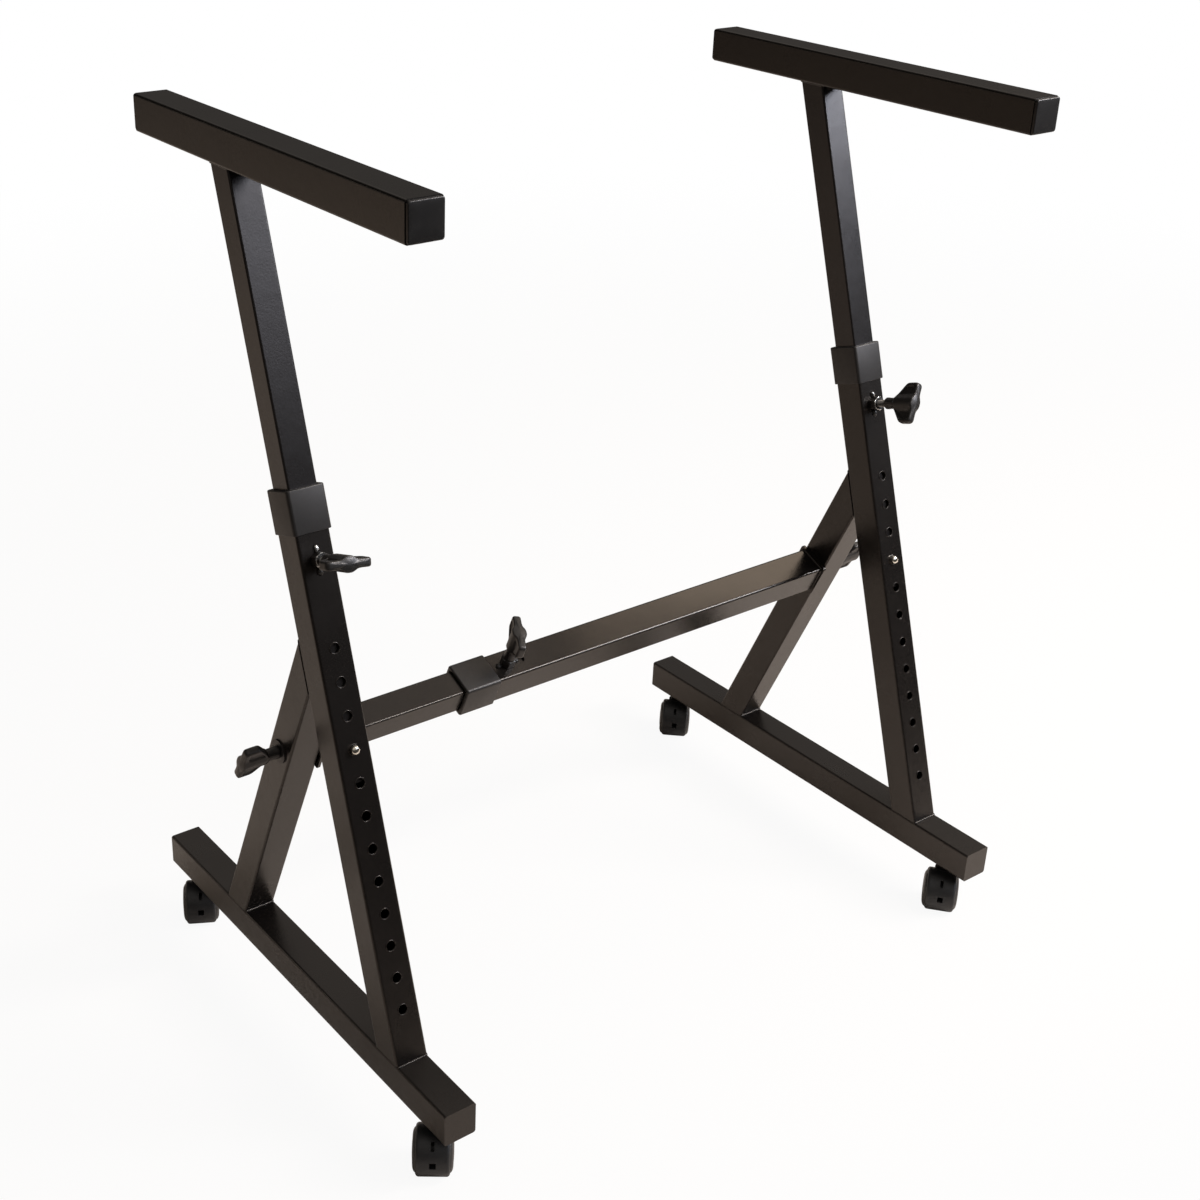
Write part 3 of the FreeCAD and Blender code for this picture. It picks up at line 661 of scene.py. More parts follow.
@dataclass(frozen=True)
class TreadPlastic:
    """Hard dark nylon of the wheels, scuffed and dusty where they roll."""

    name: str = "wheel_plastic"
    tone: Triple = (0.0120, 0.0116, 0.0114)
    dusty: Triple = (0.0600, 0.0560, 0.0520)
    grain: Triple = (0.0009, 3.0, 0.6)
    scuffs: Patches = (0.003, 5.0, 0.7, 0.42, 0.72)
    gloss: float = 0.42

    def make(self) -> Material:
        """Make the finish.

        Returns:
            The material.
        """
        paint = Paint(self.name)
        grain = paint.noise(*self.grain)
        scuff = paint.rub() * paint.patches(*self.scuffs)
        colour = paint.blend(scuff * 0.7, self.tone, self.dusty)
        rough = self.gloss + scuff * 0.25 + (grain - 0.5) * 0.08
        return paint.finish({"Base Color": colour, "Roughness": rough},
                            (grain, 0.00004), (scuff, 0.00012))


@dataclass(frozen=True)
class PlatedSteel:
    """Plated or bare steel with faint draw marks and cloudy tarnish."""

    name: str
    tone: Triple = (0.40, 0.395, 0.385)
    tarnish: Triple = (0.22, 0.205, 0.185)
    gloss: float = 0.30
    cloud: Triple = (0.006, 4.0, 0.65)
    fine: Triple = (0.0006, 2.0, 0.5)

    def make(self) -> Material:
        """Make the finish.

        Returns:
            The material.
        """
        paint = Paint(self.name)
        cloud, fine = paint.noise(*self.cloud), paint.noise(*self.fine)
        colour = paint.blend(cloud.step(0.35, 0.75), self.tone, self.tarnish)
        rough = self.gloss + (cloud - 0.5) * 0.16 + (fine - 0.5) * 0.08
        return paint.finish({"Base Color": colour, "Roughness": rough, "Metallic": 1.0},
                            (fine, 0.00002))


@dataclass(frozen=True)
class WeldMetal:
    """Weld tack that the coat covers only in part, with bare bright metal on its crown."""

    name: str = "weld_tack"
    coat: Triple = (0.0100, 0.0085, 0.0078)
    bare: Triple = (0.62, 0.61, 0.59)
    patches: Triple = (0.0032, 3.0, 0.6)
    lumps: Triple = (0.0014, 3.0, 0.6)
    gloss: float = 0.40

    def make(self) -> Material:
        """Make the finish.

        Returns:
            The material.
        """
        paint = Paint(self.name)
        bare = (paint.rub() * 1.2 * paint.noise(*self.patches)).step(0.42, 0.56)
        return paint.finish({"Base Color": paint.blend(bare, self.coat, self.bare),
                             "Metallic": bare, "Roughness": self.gloss - bare * 0.14},
                            (paint.noise(*self.lumps), 0.0003))


@dataclass(frozen=True)
class Dress:
    """A finish of new pieces, with the record's slot that it belongs to."""

    slot: Slot
    material: Material


class Finishes:
    """Every finish of the stand, made once."""

    post_tint = (1.0, 0.93, 0.92)
    bar_gloss = 0.25

    def __init__(self, layout: Layout) -> None:
        """Make the finishes.

        Args:
            layout: it has the tubes' frames, for their rubbed edges.
        """
        self.tubes: dict[str, Material] = {}
        for side in Side:
            upright = layout.upright(side)
            for node, name, axes in (("outer_upright", "upright", upright),
                                     ("strut", "strut", layout.strut(side)),
                                     ("base_tube", "base", layout.base(side)),
                                     ("arm_tube", "arm", layout.arm(side))):
                coat = PowderCoat(f"{side.word}_{name}_coat")
                self.tubes[f"{side.word}_{node}"] = coat.make(axes, layout.tube / 2)
            post = PowderCoat(f"{side.word}_post_coat", tint=self.post_tint)
            self.tubes[f"{side.word}_inner_upright"] = post.make(upright, layout.inner / 2)
        for node, name, size in (("outer", "crossbar_coat", layout.tube),
                                 ("inner", "crossbar_post_coat", layout.inner)):
            coat = PowderCoat(name, gloss=self.bar_gloss)
            self.tubes[f"crossbar_{node}_tube"] = coat.make(layout.bar().turn("y", 90.0), size / 2)
        self.coat = Dress(Slot.COAT, PowderCoat().make())
        self.collar = Dress(Slot.PLASTIC, MouldedPlastic("collar_plastic", gloss=0.44).make())
        self.cap = Dress(Slot.PLASTIC, MouldedPlastic(
            "cap_plastic", (0.0055, 0.0054, 0.0055), (0.022, 0.0215, 0.021), 0.40, 0.0009).make())
        self.knob = Dress(Slot.PLASTIC, MouldedPlastic(
            "knob_plastic", worn=(0.017, 0.0165, 0.016), gloss=0.42, grain=0.0006).make())
        self.hood = Dress(Slot.HOOD, MouldedPlastic(
            "hood_plastic", (0.0120, 0.0121, 0.0125), (0.030, 0.0302, 0.0305), 0.46, 0.0008,
            (0.80, 0.81, 0.84)).make())
        self.wheel = Dress(Slot.WHEEL, TreadPlastic().make())
        self.screw = Dress(Slot.STEEL, PlatedSteel(
            "screw_steel", (0.20, 0.195, 0.19), (0.09, 0.085, 0.08), 0.34).make())
        self.nickel = Dress(Slot.NICKEL, PlatedSteel(
            "button_nickel", (0.80, 0.77, 0.70), (0.62, 0.58, 0.50), 0.13).make())
        weld = WeldMetal().make()
        self.nut, self.tack = Dress(Slot.COAT, weld), Dress(Slot.STEEL, weld)
        self.zinc = PlatedSteel("zinc_plating").make()
        self.stem = PlatedSteel(
            "blackened_steel", (0.030, 0.029, 0.028), (0.018, 0.017, 0.016), 0.42).make()
        self.spring = PlatedSteel("spring_strip", (0.34, 0.35, 0.37), (0.18, 0.19, 0.22), 0.28).make()


def make_piece(name: str, skins: Iterable[Skin], body: str, dress: Dress,
               replaces: Sequence[str] = (), crease: Crease = Crease.OTHER) -> None:
    """Make one object of closed surfaces, in metres, and let it ride on a body.

    Args:
        name: the piece's name.
        skins: its surfaces, in the row frame and in millimetres.
        body: the body that it moves with.
        dress: its finish and slot.
        replaces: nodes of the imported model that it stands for.
        crease: which of its edges stay sharp.
    """
    points, faces, worn, start = [], [], [], 0
    for part in skins:
        points.append(part.points * MM)
        faces += (part.quads + start).tolist() + (part.triangles + start).tolist()
        worn.append(part.rub)
        start += len(part.points)
    mesh = bpy.data.meshes.new(name)
    mesh.from_pydata(np.vstack(points).tolist(), [], faces)
    mesh.update()
    mesh.polygons.foreach_set("use_smooth", np.ones(len(mesh.polygons), bool))
    mesh.set_sharp_from_angle(angle=math.radians(crease.value))
    attribute = mesh.attributes.new("rub", "FLOAT", "POINT")
    attribute.data.foreach_set("value", np.concatenate(worn).astype(np.float32))
    mesh.materials.append(dress.material)
    item = bpy.data.objects.new(name, mesh)
    bpy.context.scene.collection.objects.link(item)
    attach(item, body)
    if replaces:
        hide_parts(*replaces)
    log.info("%s: %d faces on %s", name, len(faces), body)


# Small parts

class Form:
    """A small part whose surfaces are made in a frame of its own."""

    def surfaces(self) -> list[Skin]:
        """Return the surfaces in the part's own frame."""
        raise NotImplementedError

    def at(self, *spots: Axes) -> list[Skin]:
        """Return the surfaces in the row frame, once for each spot."""
        return [part.placed(axes) for axes in spots for part in self.surfaces()]


@dataclass(frozen=True)
class WeldBead(Form):
    """Run of fillet weld round the foot of a square tube, in the plane of the joint."""

    half_x: float
    half_y: float
    corner: float = 2.5
    radius: float = 1.3
    flush: float = 0.35
    ripple: float = 1.9
    swell: float = 0.11
    lag: float = 1.3
    pace: float = 0.45

    def surfaces(self) -> list[Skin]:
        """Carry a round section along the tube's outline.

        The section's radius swells and shrinks along the run as a cosine with one wave to a
        ripple, and the wave lags towards the section's top, as the pool freezes. Along the
        two sides that lie flush with what the tube stands on, the radius is the flush one.

        Returns:
            The bead.
        """
        path = resample(rounded_square(self.half_x, self.corner, self.half_y), self.pace)
        ahead = np.roll(path, -1, 0) - np.roll(path, 1, 0)
        ahead /= lengths(ahead)
        out = np.stack([ahead[:, 1], -ahead[:, 0]], 1)
        out *= np.sign((out * path).sum(1).mean())
        run = np.arange(len(path))[:, None] * self.pace
        angle = circle(12)
        size = self.flush + (self.radius - self.flush) * out[:, 1:] ** 2
        wave = np.cos(2 * np.pi * run / self.ripple - self.lag * np.sin(angle))
        reach = size * (1 + self.swell * wave)
        grid = np.stack([path[:, :1] + reach * np.cos(angle) * out[:, :1],
                         path[:, 1:] + reach * np.cos(angle) * out[:, 1:], reach * np.sin(angle)], -1)
        return [skin(grid, ring=True)]


@dataclass(frozen=True)
class HoleRim(Form):
    """Rolled rim of a punched hole, a thin ring in the tube's face with z out of it."""

    hole: float = 4.9
    radius: float = 0.5
    clear: float = 0.3

    def surfaces(self) -> list[Skin]:
        """Make the ring, a torus whose middle lies a little outside the hole's edge.

        Returns:
            The ring.
        """
        section = circle(10)
        reach = self.hole + self.clear + self.radius * np.cos(section)
        return [skin(round_axis(reach, circle(48)[:, None], self.radius * np.sin(section)), ring=True)]


@dataclass(frozen=True)
class HexNut(Form):
    """Hexagon nut with its corners turned off at both ends, its outer edge rubbed bare."""

    across: float = 14.0
    height: float = 9.5
    bore: float = 8.1
    bare: float = 1.0
    lead: float = 0.5
    cone_share: float = 0.97

    def surfaces(self) -> list[Skin]:
        """Make the nut, standing on its frame's origin with a corner on x.

        The outside radius at an angle is the hexagon's, half the width over the cosine of the
        angle from the nearest flat's middle, cut back to a cone of 30 degrees near both ends.

        Returns:
            The nut.
        """
        angle = circle(72)
        hexagon = self.across / 2 / np.cos((angle % (np.pi / 3)) - np.pi / 6)
        rise_shares = np.array([0.04, 0.09, 0.14, 0.86, 0.91, 0.96])
        end = np.minimum(rise_shares, 1 - rise_shares)[:, None] * self.height
        cone = self.across / 2 * self.cone_share
        face = np.minimum(hexagon, cone)
        hole, mouth = (np.full(72, self.bore / 2 + lead) for lead in (0.0, self.lead))
        radius = np.vstack([mouth, face, np.minimum(hexagon, cone + end * math.sqrt(3)),
                            face, face, mouth, hole, hole])
        height = self.height * np.array([0, 0, *rise_shares, 1, 1, 1, 0.95, 0.05])
        rub = self.bare * np.array([0, 0, 0, 0, 0, 0.1, 0.5, 1.0, 1.0, 0.7, 0, 0, 0])
        return [skin(round_axis(radius, angle, height[:, None]), ring=True, rub=rub)]


@dataclass(frozen=True)
class Screw(Form):
    """Threaded shank between two heights."""

    low: float
    high: float
    diameter: float = 8.0
    pitch: float = 1.25
    depth: float = 0.62

    def surfaces(self) -> list[Skin]:
        """Make the thread.

        The radius falls from the crest by the thread's depth times a triangle wave of the
        height over the pitch less the share of a turn, so that the wave climbs one pitch a
        turn. Both ends taper by the depth.

        Returns:
            The shank.
        """
        height = np.arange(self.low, self.high + 1e-6, self.pitch / 8)[:, None]
        angle = circle(40)
        phase = (height / self.pitch - angle / (2 * np.pi)) % 1.0
        wave = np.clip(np.abs(phase * 2 - 1) * 1.25 - 0.1, 0, 1)
        end = np.minimum(height - self.low, self.high - height)
        crest = self.diameter / 2
        radius = np.minimum(crest - self.depth * wave, crest - self.depth + end)
        return [skin(round_axis(radius, angle, height))]


@dataclass(frozen=True)
class WeldTack(Form):
    """Small lump of weld beside a nut's corner, along y from the nut's middle."""

    reach: float = 10.6
    length: float = 3.9
    width: float = 2.9
    rise: float = 2.9
    bare: float = 1.0
    foot_tilt: float = -0.35
    waves: tuple[Triple, ...] = ((0.09, 3.0, 1.0), (0.05, 5.0, 0.0))

    def surfaces(self) -> list[Skin]:
        """Make the lump: half a ball, whose three half axes are the sizes.

        Its outline swells by waves, each with its depth, its number round the lump and its start.

        Returns:
            The lump.
        """
        tilt = np.linspace(self.foot_tilt, np.pi / 2 - 0.02, 14)[:, None]
        angle = circle(28)
        uneven = sum((depth * np.sin(count * angle + start) for depth, count, start in self.waves), 1)
        grid = round_axis(np.cos(tilt) * uneven, angle, np.sin(tilt))
        grid = grid * (self.width, self.length, self.rise) + (0.0, self.reach, 0.0)
        return [skin(grid, rub=self.bare * np.linspace(0.3, 1, 14))]


def gate(value: ndarray, width: float) -> ndarray:
    """Return a smooth rise from 0 to 1 over a width: with x the share of it, 3 x^2 - 2 x^3."""
    part = np.clip(value / width, 0, 1)
    return part * part * (3 - 2 * part)


@dataclass(frozen=True)
class WingKnob(Form):
    """Wing knob: a round neck, and a hub that swells out of two lobes with a pocket in each face."""

    length: float = 42.0
    neck: float = 6.5
    waist: float = 6.1
    hub: float = 7.7
    hub_width: float = 6.9
    span: float = 23.0
    root: float = 12.6
    lobe_low: float = 25.5
    lobe_high: float = 41.0
    thickness: float = 4.25
    corner: float = 4.2
    edge: float = 1.9
    pocket: float = 1.3
    pocket_start: float = 8.2
    pocket_rim: float = 3.4
    pocket_top: float = 4.6
    blend: float = 1.2
    round_share: float = 0.62
    root_share: float = 0.82
    root_rise: float = 3.0
    bore: float = 4.1
    grip: float = 12.0

    def neck_skin(self) -> Skin:
        """Turn the neck, open below for the screw."""
        profile = [(0.3, self.grip), (self.bore, self.grip), (self.bore, 0.6),
                   (self.bore + 0.5, 0.0), (self.neck - 0.6, 0.0), (self.neck, 0.6),
                   (self.neck, 3.0), (self.waist + 0.1, 5.0), (self.waist, 7.5),
                   (self.waist, 13.0), (self.waist - 1.0, 18.0), (0.3, 18.5)]
        return turned(profile, 48, [0.0] * 4 + [0.2, 0.6, 0.4] + [0.0] * 5)

    def half_span(self, height: ndarray) -> ndarray:
        """Return how far the lobes reach at each height.

        The reach grows straight from the neck to the full span, and near the end it follows a
        quarter circle inwards.

        Args:
            height: the heights.

        Returns:
            Half the span at each.
        """
        slope = (self.span - self.waist) / (self.lobe_low - self.root)
        gap = (self.span - self.waist - slope * (height - self.root)) / self.blend
        into = np.clip(height - self.lobe_high + self.corner, 0, self.corner)
        return (self.span - self.blend * np.logaddexp(0.0, gap)
                - self.corner + np.sqrt(self.corner ** 2 - into ** 2))

    def body_skin(self) -> Skin:
        """Make the hub and lobes as one stack of loops.

        Each loop is a rectangle with rounded ends. Its half thickness is the lobe's, plus a
        swelling that falls from the hub's radius at the axis as the exponential of minus the
        cube of the distance, less a smooth pocket between the hub and the lobe's edge. It
        grows to its full width a little above the root.
        Towards the end face the thickness and reach follow an arc inwards, and the last
        loops shrink over a slightly domed face.

        Returns:
            The hub and lobes.
        """
        bend = np.sin(np.linspace(0, 1, 12)[1:] * np.pi / 2)
        height = np.concatenate([
            np.linspace(self.root, self.lobe_low + 1.5, 16),
            np.linspace(self.lobe_low + 2.3, self.lobe_high - self.corner, 12),
            self.lobe_high - self.corner * (1 - bend)])
        level = height[:, None]
        reach = self.half_span(level)
        across = np.append(np.linspace(0, 1, 26), np.ones(6))
        turn = np.append(np.zeros(26), np.linspace(0, 1, 7)[1:] * np.pi / 2)
        round_end = self.thickness * self.round_share
        x = (reach - round_end) * across + round_end * np.sin(turn)
        thin = 1 - round_end * (1 - np.cos(turn)) / self.thickness
        inset = np.clip(level - self.lobe_high + self.edge, 0, self.edge)
        over = self.edge - np.sqrt(self.edge ** 2 - inset ** 2)
        swell = (self.hub - self.thickness) * np.exp(-(np.abs(x) / self.hub_width) ** 3)
        lobe = (gate(x - self.pocket_start, self.blend)
                * gate(reach - self.pocket_rim - x, self.blend)
                * gate(self.lobe_high - self.pocket_top - level, self.blend))
        half = (self.thickness + swell - self.pocket * lobe - over) * thin
        grown = np.clip((level - self.root) / self.root_rise, 0, 1)
        half = half * (self.root_share + (1 - self.root_share) * grown)
        right = np.stack([x, half], -1)
        loop = np.concatenate([right[:, ::-1], right[:, 1:] * [-1.0, 1.0],
                               right[:, :0:-1] * [-1.0, -1.0], right * [1.0, -1.0]], 1)
        shrink = np.array([0.97, 0.9, 0.75, 0.5, 0.25, 0.06])
        dome = self.lobe_high + (self.length - self.lobe_high) * (1 - shrink ** 2)
        face = lifted(loop[-1:] * shrink[:, None, None], dome)
        rub = np.concatenate([np.zeros(28), np.linspace(0.0, 1.0, 11), np.linspace(0.8, 0.1, 6)])
        return skin(np.concatenate([lifted(loop, height), face]), rub=rub)

    def surfaces(self) -> list[Skin]:
        """Return the knob's neck and body."""
        return [self.neck_skin(), self.body_skin()]


@dataclass(frozen=True)
class Collar(Form):
    """Plastic collar over the end of a tube along z, with a lip round the inner tube."""

    mouth: float
    seat: float
    lip: float
    half: float = 19.6
    corner: float = 3.5
    bevel: float = 1.3
    foot: float = 0.6
    tube_half: float = 17.55
    way_half: float = 15.3

    def surfaces(self) -> list[Skin]:
        """Stack rounded squares from the mouth over the outside and the lip to the inside.

        Returns:
            The collar.
        """
        out = 1.0 if self.lip > self.mouth else -1.0
        curve = np.linspace(0, np.pi / 2, 6)
        halves = np.concatenate([
            [self.tube_half], self.half - self.foot * (1 - np.sin(curve)), [self.half],
            self.half - self.bevel * (1 - np.cos(curve)),
            [self.way_half + 0.5, self.way_half, self.way_half, self.tube_half]])
        places = np.concatenate([
            [self.mouth], self.mouth + out * self.foot * (1 - np.cos(curve)),
            [(self.mouth + self.lip) / 2], self.lip - out * self.bevel * (1 - np.sin(curve)),
            [self.lip, self.lip - out * 0.5, self.seat, self.seat]])
        corners = np.maximum(self.corner - (self.half - halves) * 0.85, 0.8)
        rub = np.concatenate([[0.0], np.full(6, 0.4), [0.0], np.linspace(0.3, 1.0, 6), np.zeros(4)])
        return [skin(stacked(halves, corners, places), ring=True, rub=rub)]


@dataclass(frozen=True)
class ArmCap(Form):
    """Plastic cap of an arm's end: a bevelled lip outside, with z out, and a plug in the tube."""

    half: float = 16.7
    plug: float = 15.9
    lip: float = 4.0
    depth: float = 18.0
    bevel: float = 1.1
    crown: float = 0.35

    def surfaces(self) -> list[Skin]:
        """Stack rounded squares from the plug's end to the lip's slightly crowned face.

        Returns:
            The cap.
        """
        curve = np.linspace(0, np.pi / 2, 6)
        halves = np.concatenate([
            [4.0, self.plug - 0.8, self.plug, self.plug, self.half - 0.35, self.half],
            self.half - self.bevel * (1 - np.cos(curve)), self.half * np.array([0.72, 0.35, 0.05])])
        places = np.concatenate([
            [-self.depth, -self.depth, 1.5 - self.depth, 0.0, 0.0, 0.35],
            self.lip - self.crown - self.bevel * (1 - np.sin(curve)),
            self.lip - self.crown * np.array([0.45, 0.12, 0.0])])
        rub = np.concatenate([np.zeros(6), np.linspace(0.2, 1.0, 6), np.zeros(3)])
        return [skin(stacked(halves, np.minimum(2.5, halves * 0.4), places), rub=rub)]


@dataclass(frozen=True)
class SpringButton(Form):
    """Nickel pin with a rounded head and a flange inside the tube, with z out of the tube."""

    radius: float = 4.3
    tip: float = 23.5
    seat: float = 13.5
    flange: float = 5.8
    flange_depth: float = 2.0
    dome: float = 2.4

    def surfaces(self) -> list[Skin]:
        """Turn the pin, whose head is a quarter of an ellipse from the shank to the tip.

        Returns:
            The pin.
        """
        curve = np.linspace(0, 0.985, 12) * np.pi / 2
        back = self.seat - self.flange_depth
        return [turned(np.vstack([
            [(0.3, back), (self.flange - 0.3, back), (self.flange, back + 0.3),
             (self.flange, self.seat - 0.2), (self.flange - 0.3, self.seat), (self.radius, self.seat)],
            np.stack([self.radius * np.cos(curve),
                      self.tip - self.dome * (1 - np.sin(curve))], 1)]), 44)]


@dataclass(frozen=True)
class CasterHood(Form):
    """Curved fender of a caster with its web, its turret round the stem and two slots.

    The key and the slot are each a half width, a low edge and a high edge.
    """

    axle_y: float = -10.6
    axle_z: float = 21.5
    outer: float = 24.7
    inner: float = 22.7
    half_width: float = 16.5
    edge: float = 3.2
    back: float = 20.0
    drop: float = 226.0
    corner: float = 5.5
    web: float = 6.0
    rise: float = 46.8
    turret: float = 9.0
    bore: float = 4.05
    closing: float = 40.0
    tail: float = 5.0
    tail_thinning: float = 0.8
    web_steps: tuple[float, ...] = (3.0, 9.0, 14.0, 18.5, 23.2)
    web_open: float = 14.0
    key: Triple = (1.7, 37.0, 42.7)
    slot: Triple = (3.1, 20.3, 26.9)

    def arc_at(self, height: float) -> float:
        """Return the angle round the axle, in degrees, where the front meets a height."""
        return 180.0 - math.degrees(math.asin((height - self.axle_z) / self.outer))

    def round_axle(self, side: ndarray, radius: ndarray, angle: ndarray) -> ndarray:
        """Return points round the axle, from their place along it, radius and angle in degrees."""
        turn = np.radians(angle)
        return np.stack(np.broadcast_arrays(
            side, self.axle_y + radius * np.cos(turn), self.axle_z + radius * np.sin(turn)), -1)

    def angles(self) -> ndarray:
        """Return the fender's steps round the axle, which include the slots' edges."""
        edges = [self.arc_at(height) for height in (*self.key[1:], *self.slot[1:])]
        return np.unique(np.concatenate([np.linspace(self.back, self.drop, 56), edges]).round(4))

    def window(self, opening: Triple, middle: ndarray) -> ndarray:
        """Return which steps round the axle lie between an opening's two edges."""
        return (middle > self.arc_at(opening[2])) & (middle < self.arc_at(opening[1]))

    def fender(self) -> Skin:
        """Make the fender: arcs round the axle, rounded over towards both sides.

        The lower end's corners are quarter circles: near the sides each arc ends sooner, by the
        corner's drop over the fender's radius, and its last steps close up to make room.

        Returns:
            The fender.
        """
        flat = self.half_width - self.edge
        sweep = np.sin(np.linspace(0, np.pi / 2, 7)) * self.edge + flat
        half = np.unique(np.concatenate([[self.key[0], self.slot[0]], np.linspace(5, flat, 7), sweep]))
        across = np.concatenate([-half[::-1], half])
        angle = self.angles()[:, None]
        over = np.clip(np.abs(across) - flat, 0, self.edge)
        wall = self.outer - self.edge + np.sqrt(self.edge ** 2 - over ** 2)
        near = np.clip((np.abs(across) - self.half_width + self.corner) / self.corner, 0, 1)
        sooner = np.degrees(self.corner * (1 - np.sqrt(1 - near ** 2)) / self.outer)
        around = angle - sooner * np.clip((angle - self.drop) / self.closing + 1, 0, 1) ** 2
        thinning = self.tail_thinning * np.clip((angle - self.drop) / self.tail + 1, 0, 1) ** 2
        turn = (angle[:-1] + angle[1:]) / 2
        middle = np.abs(across[:-1] + across[1:]) / 2
        cut = [(middle < opening[0]) & self.window(opening, turn) for opening in (self.key, self.slot)]
        return cut_shell(self.round_axle(across, wall - thinning, around),
                         self.round_axle(across, np.minimum(wall, self.inner), around),
                         ~(cut[0] | cut[1]))

    def web_plate(self) -> Skin:
        """Make the plate between the wheels, from the axle's ring to the fender.

        Returns:
            The plate.
        """
        angle = self.angles()[:, None]
        reach = np.array(self.web_steps)
        turn = (angle[:-1] + angle[1:]) / 2
        windows = self.window(self.key, turn) | self.window(self.slot, turn)
        near, far = (self.round_axle(side, reach, angle) for side in (self.web, -self.web))
        return cut_shell(near, far, ~(windows & (reach[:-1] >= self.web_open)))

    def turret_wall(self) -> Skin:
        """Make the turret round the stem, whose foot follows the fender's arc.

        The lower rows share the way from the foot, on the circle round the axle through the
        middle of the fender's wall, to just under the top; the upper rows round the rim off.

        Returns:
            The turret.
        """
        turn = circle(48)
        middle_radius = (self.outer + self.inner) / 2
        way_shares = np.array([0.0, 0.35, 0.7, 1.0])[:, None]
        rim = np.array([0.8, 0.45, 0.15, 0.0])[:, None]
        shrink = np.array([0, 0, 0, 0, 0.08, 0.25, 0.6, 1.1])[:, None]
        walls = []
        for radius, sign in ((self.turret, -1.0), (self.bore, 0.25)):
            along = radius * np.sin(turn) - self.axle_y
            foot = self.axle_z + np.sqrt(np.maximum(middle_radius ** 2 - along ** 2, 1.0))
            height = np.vstack([foot + (self.rise - 1.2 - foot) * way_shares,
                                self.rise - rim + 0.0 * foot])
            walls.append(round_axis(radius + sign * shrink, turn, height))
        return cut_shell(*walls, np.ones((len(shrink) - 1, len(turn)), bool), ring=True)

    def surfaces(self) -> list[Skin]:
        """Return the fender, the web and the turret."""
        return [self.fender(), self.web_plate(), self.turret_wall()]


@dataclass(frozen=True)
class CasterWheel(Form):
    """Twin caster's wheel, with z out along its axle: tread, domed side with a step ring, hub."""

    radius: float = 21.5
    inset: float = 6.4
    reach: float = 20.0
    tread: float = 15.0
    dome_foot: float = 13.2

    def surfaces(self) -> list[Skin]:
        """Turn the wheel's profile, whose outer side is an elliptic dome with a sunk ring.

        Returns:
            The wheel.
        """
        curve = np.linspace(0, 1, 14) * np.pi / 2
        dome = np.stack([self.dome_foot + (self.radius - self.dome_foot) * np.cos(curve) ** 0.85,
                         self.tread + (self.reach - 0.5 - self.tread) * np.sin(curve)], 1)
        profile = np.vstack([
            [(0.2, self.inset + 9.0), (2.5, self.inset + 9.0), (2.7, self.inset + 0.6),
             (5.0, self.inset), (17.0, self.inset), (17.7, self.inset + 0.7),
             (18.7, self.inset + 0.7), (19.9, self.inset), (20.8, self.inset + 0.3),
             (self.radius, self.inset + 1.4), (self.radius, self.tread - 0.6)],
            dome,
            [(12.4, self.reach - 0.5), (12.1, self.reach - 0.9), (11.2, self.reach - 0.9),
             (10.9, self.reach - 0.4), (8.0, self.reach - 0.15), (4.0, self.reach), (0.2, self.reach)]])
        rub = np.concatenate([np.zeros(7), [0.2, 0.7, 1.0, 1.0], np.linspace(1.0, 0.0, 14), np.zeros(7)])
        return [turned(profile, 72, rub)]


# Sub-assemblies

@dataclass(frozen=True)
class Assembly:
    """A sub-assembly, with the layout that places it and the finishes that dress it."""

    layout: Layout
    finishes: Finishes

    def knob(self, name: str, screw: Axes, low: float, gap: float, turn: float) -> None:
        """Make a screw with its wing knob.

        Args:
            name: the knob's name, which its body and nodes carry.
            screw: frame where the screw enters, with z out.
            low: height of the screw's inner end.
            gap: height of the knob's foot.
            turn: the knob's turn about the screw in degrees.
        """
        body = f"{name}_knob_screw"
        wing = WingKnob()
        make_piece(f"{name}_thread", Screw(low, gap + wing.grip).at(screw), body,
                   self.finishes.screw, [f"{name}_screw"], Crease.THREAD)
        make_piece(f"{name}_wing", wing.at(screw.shift(z=gap).turn("z", turn)), body,
                   self.finishes.knob, [f"{name}_knob"])


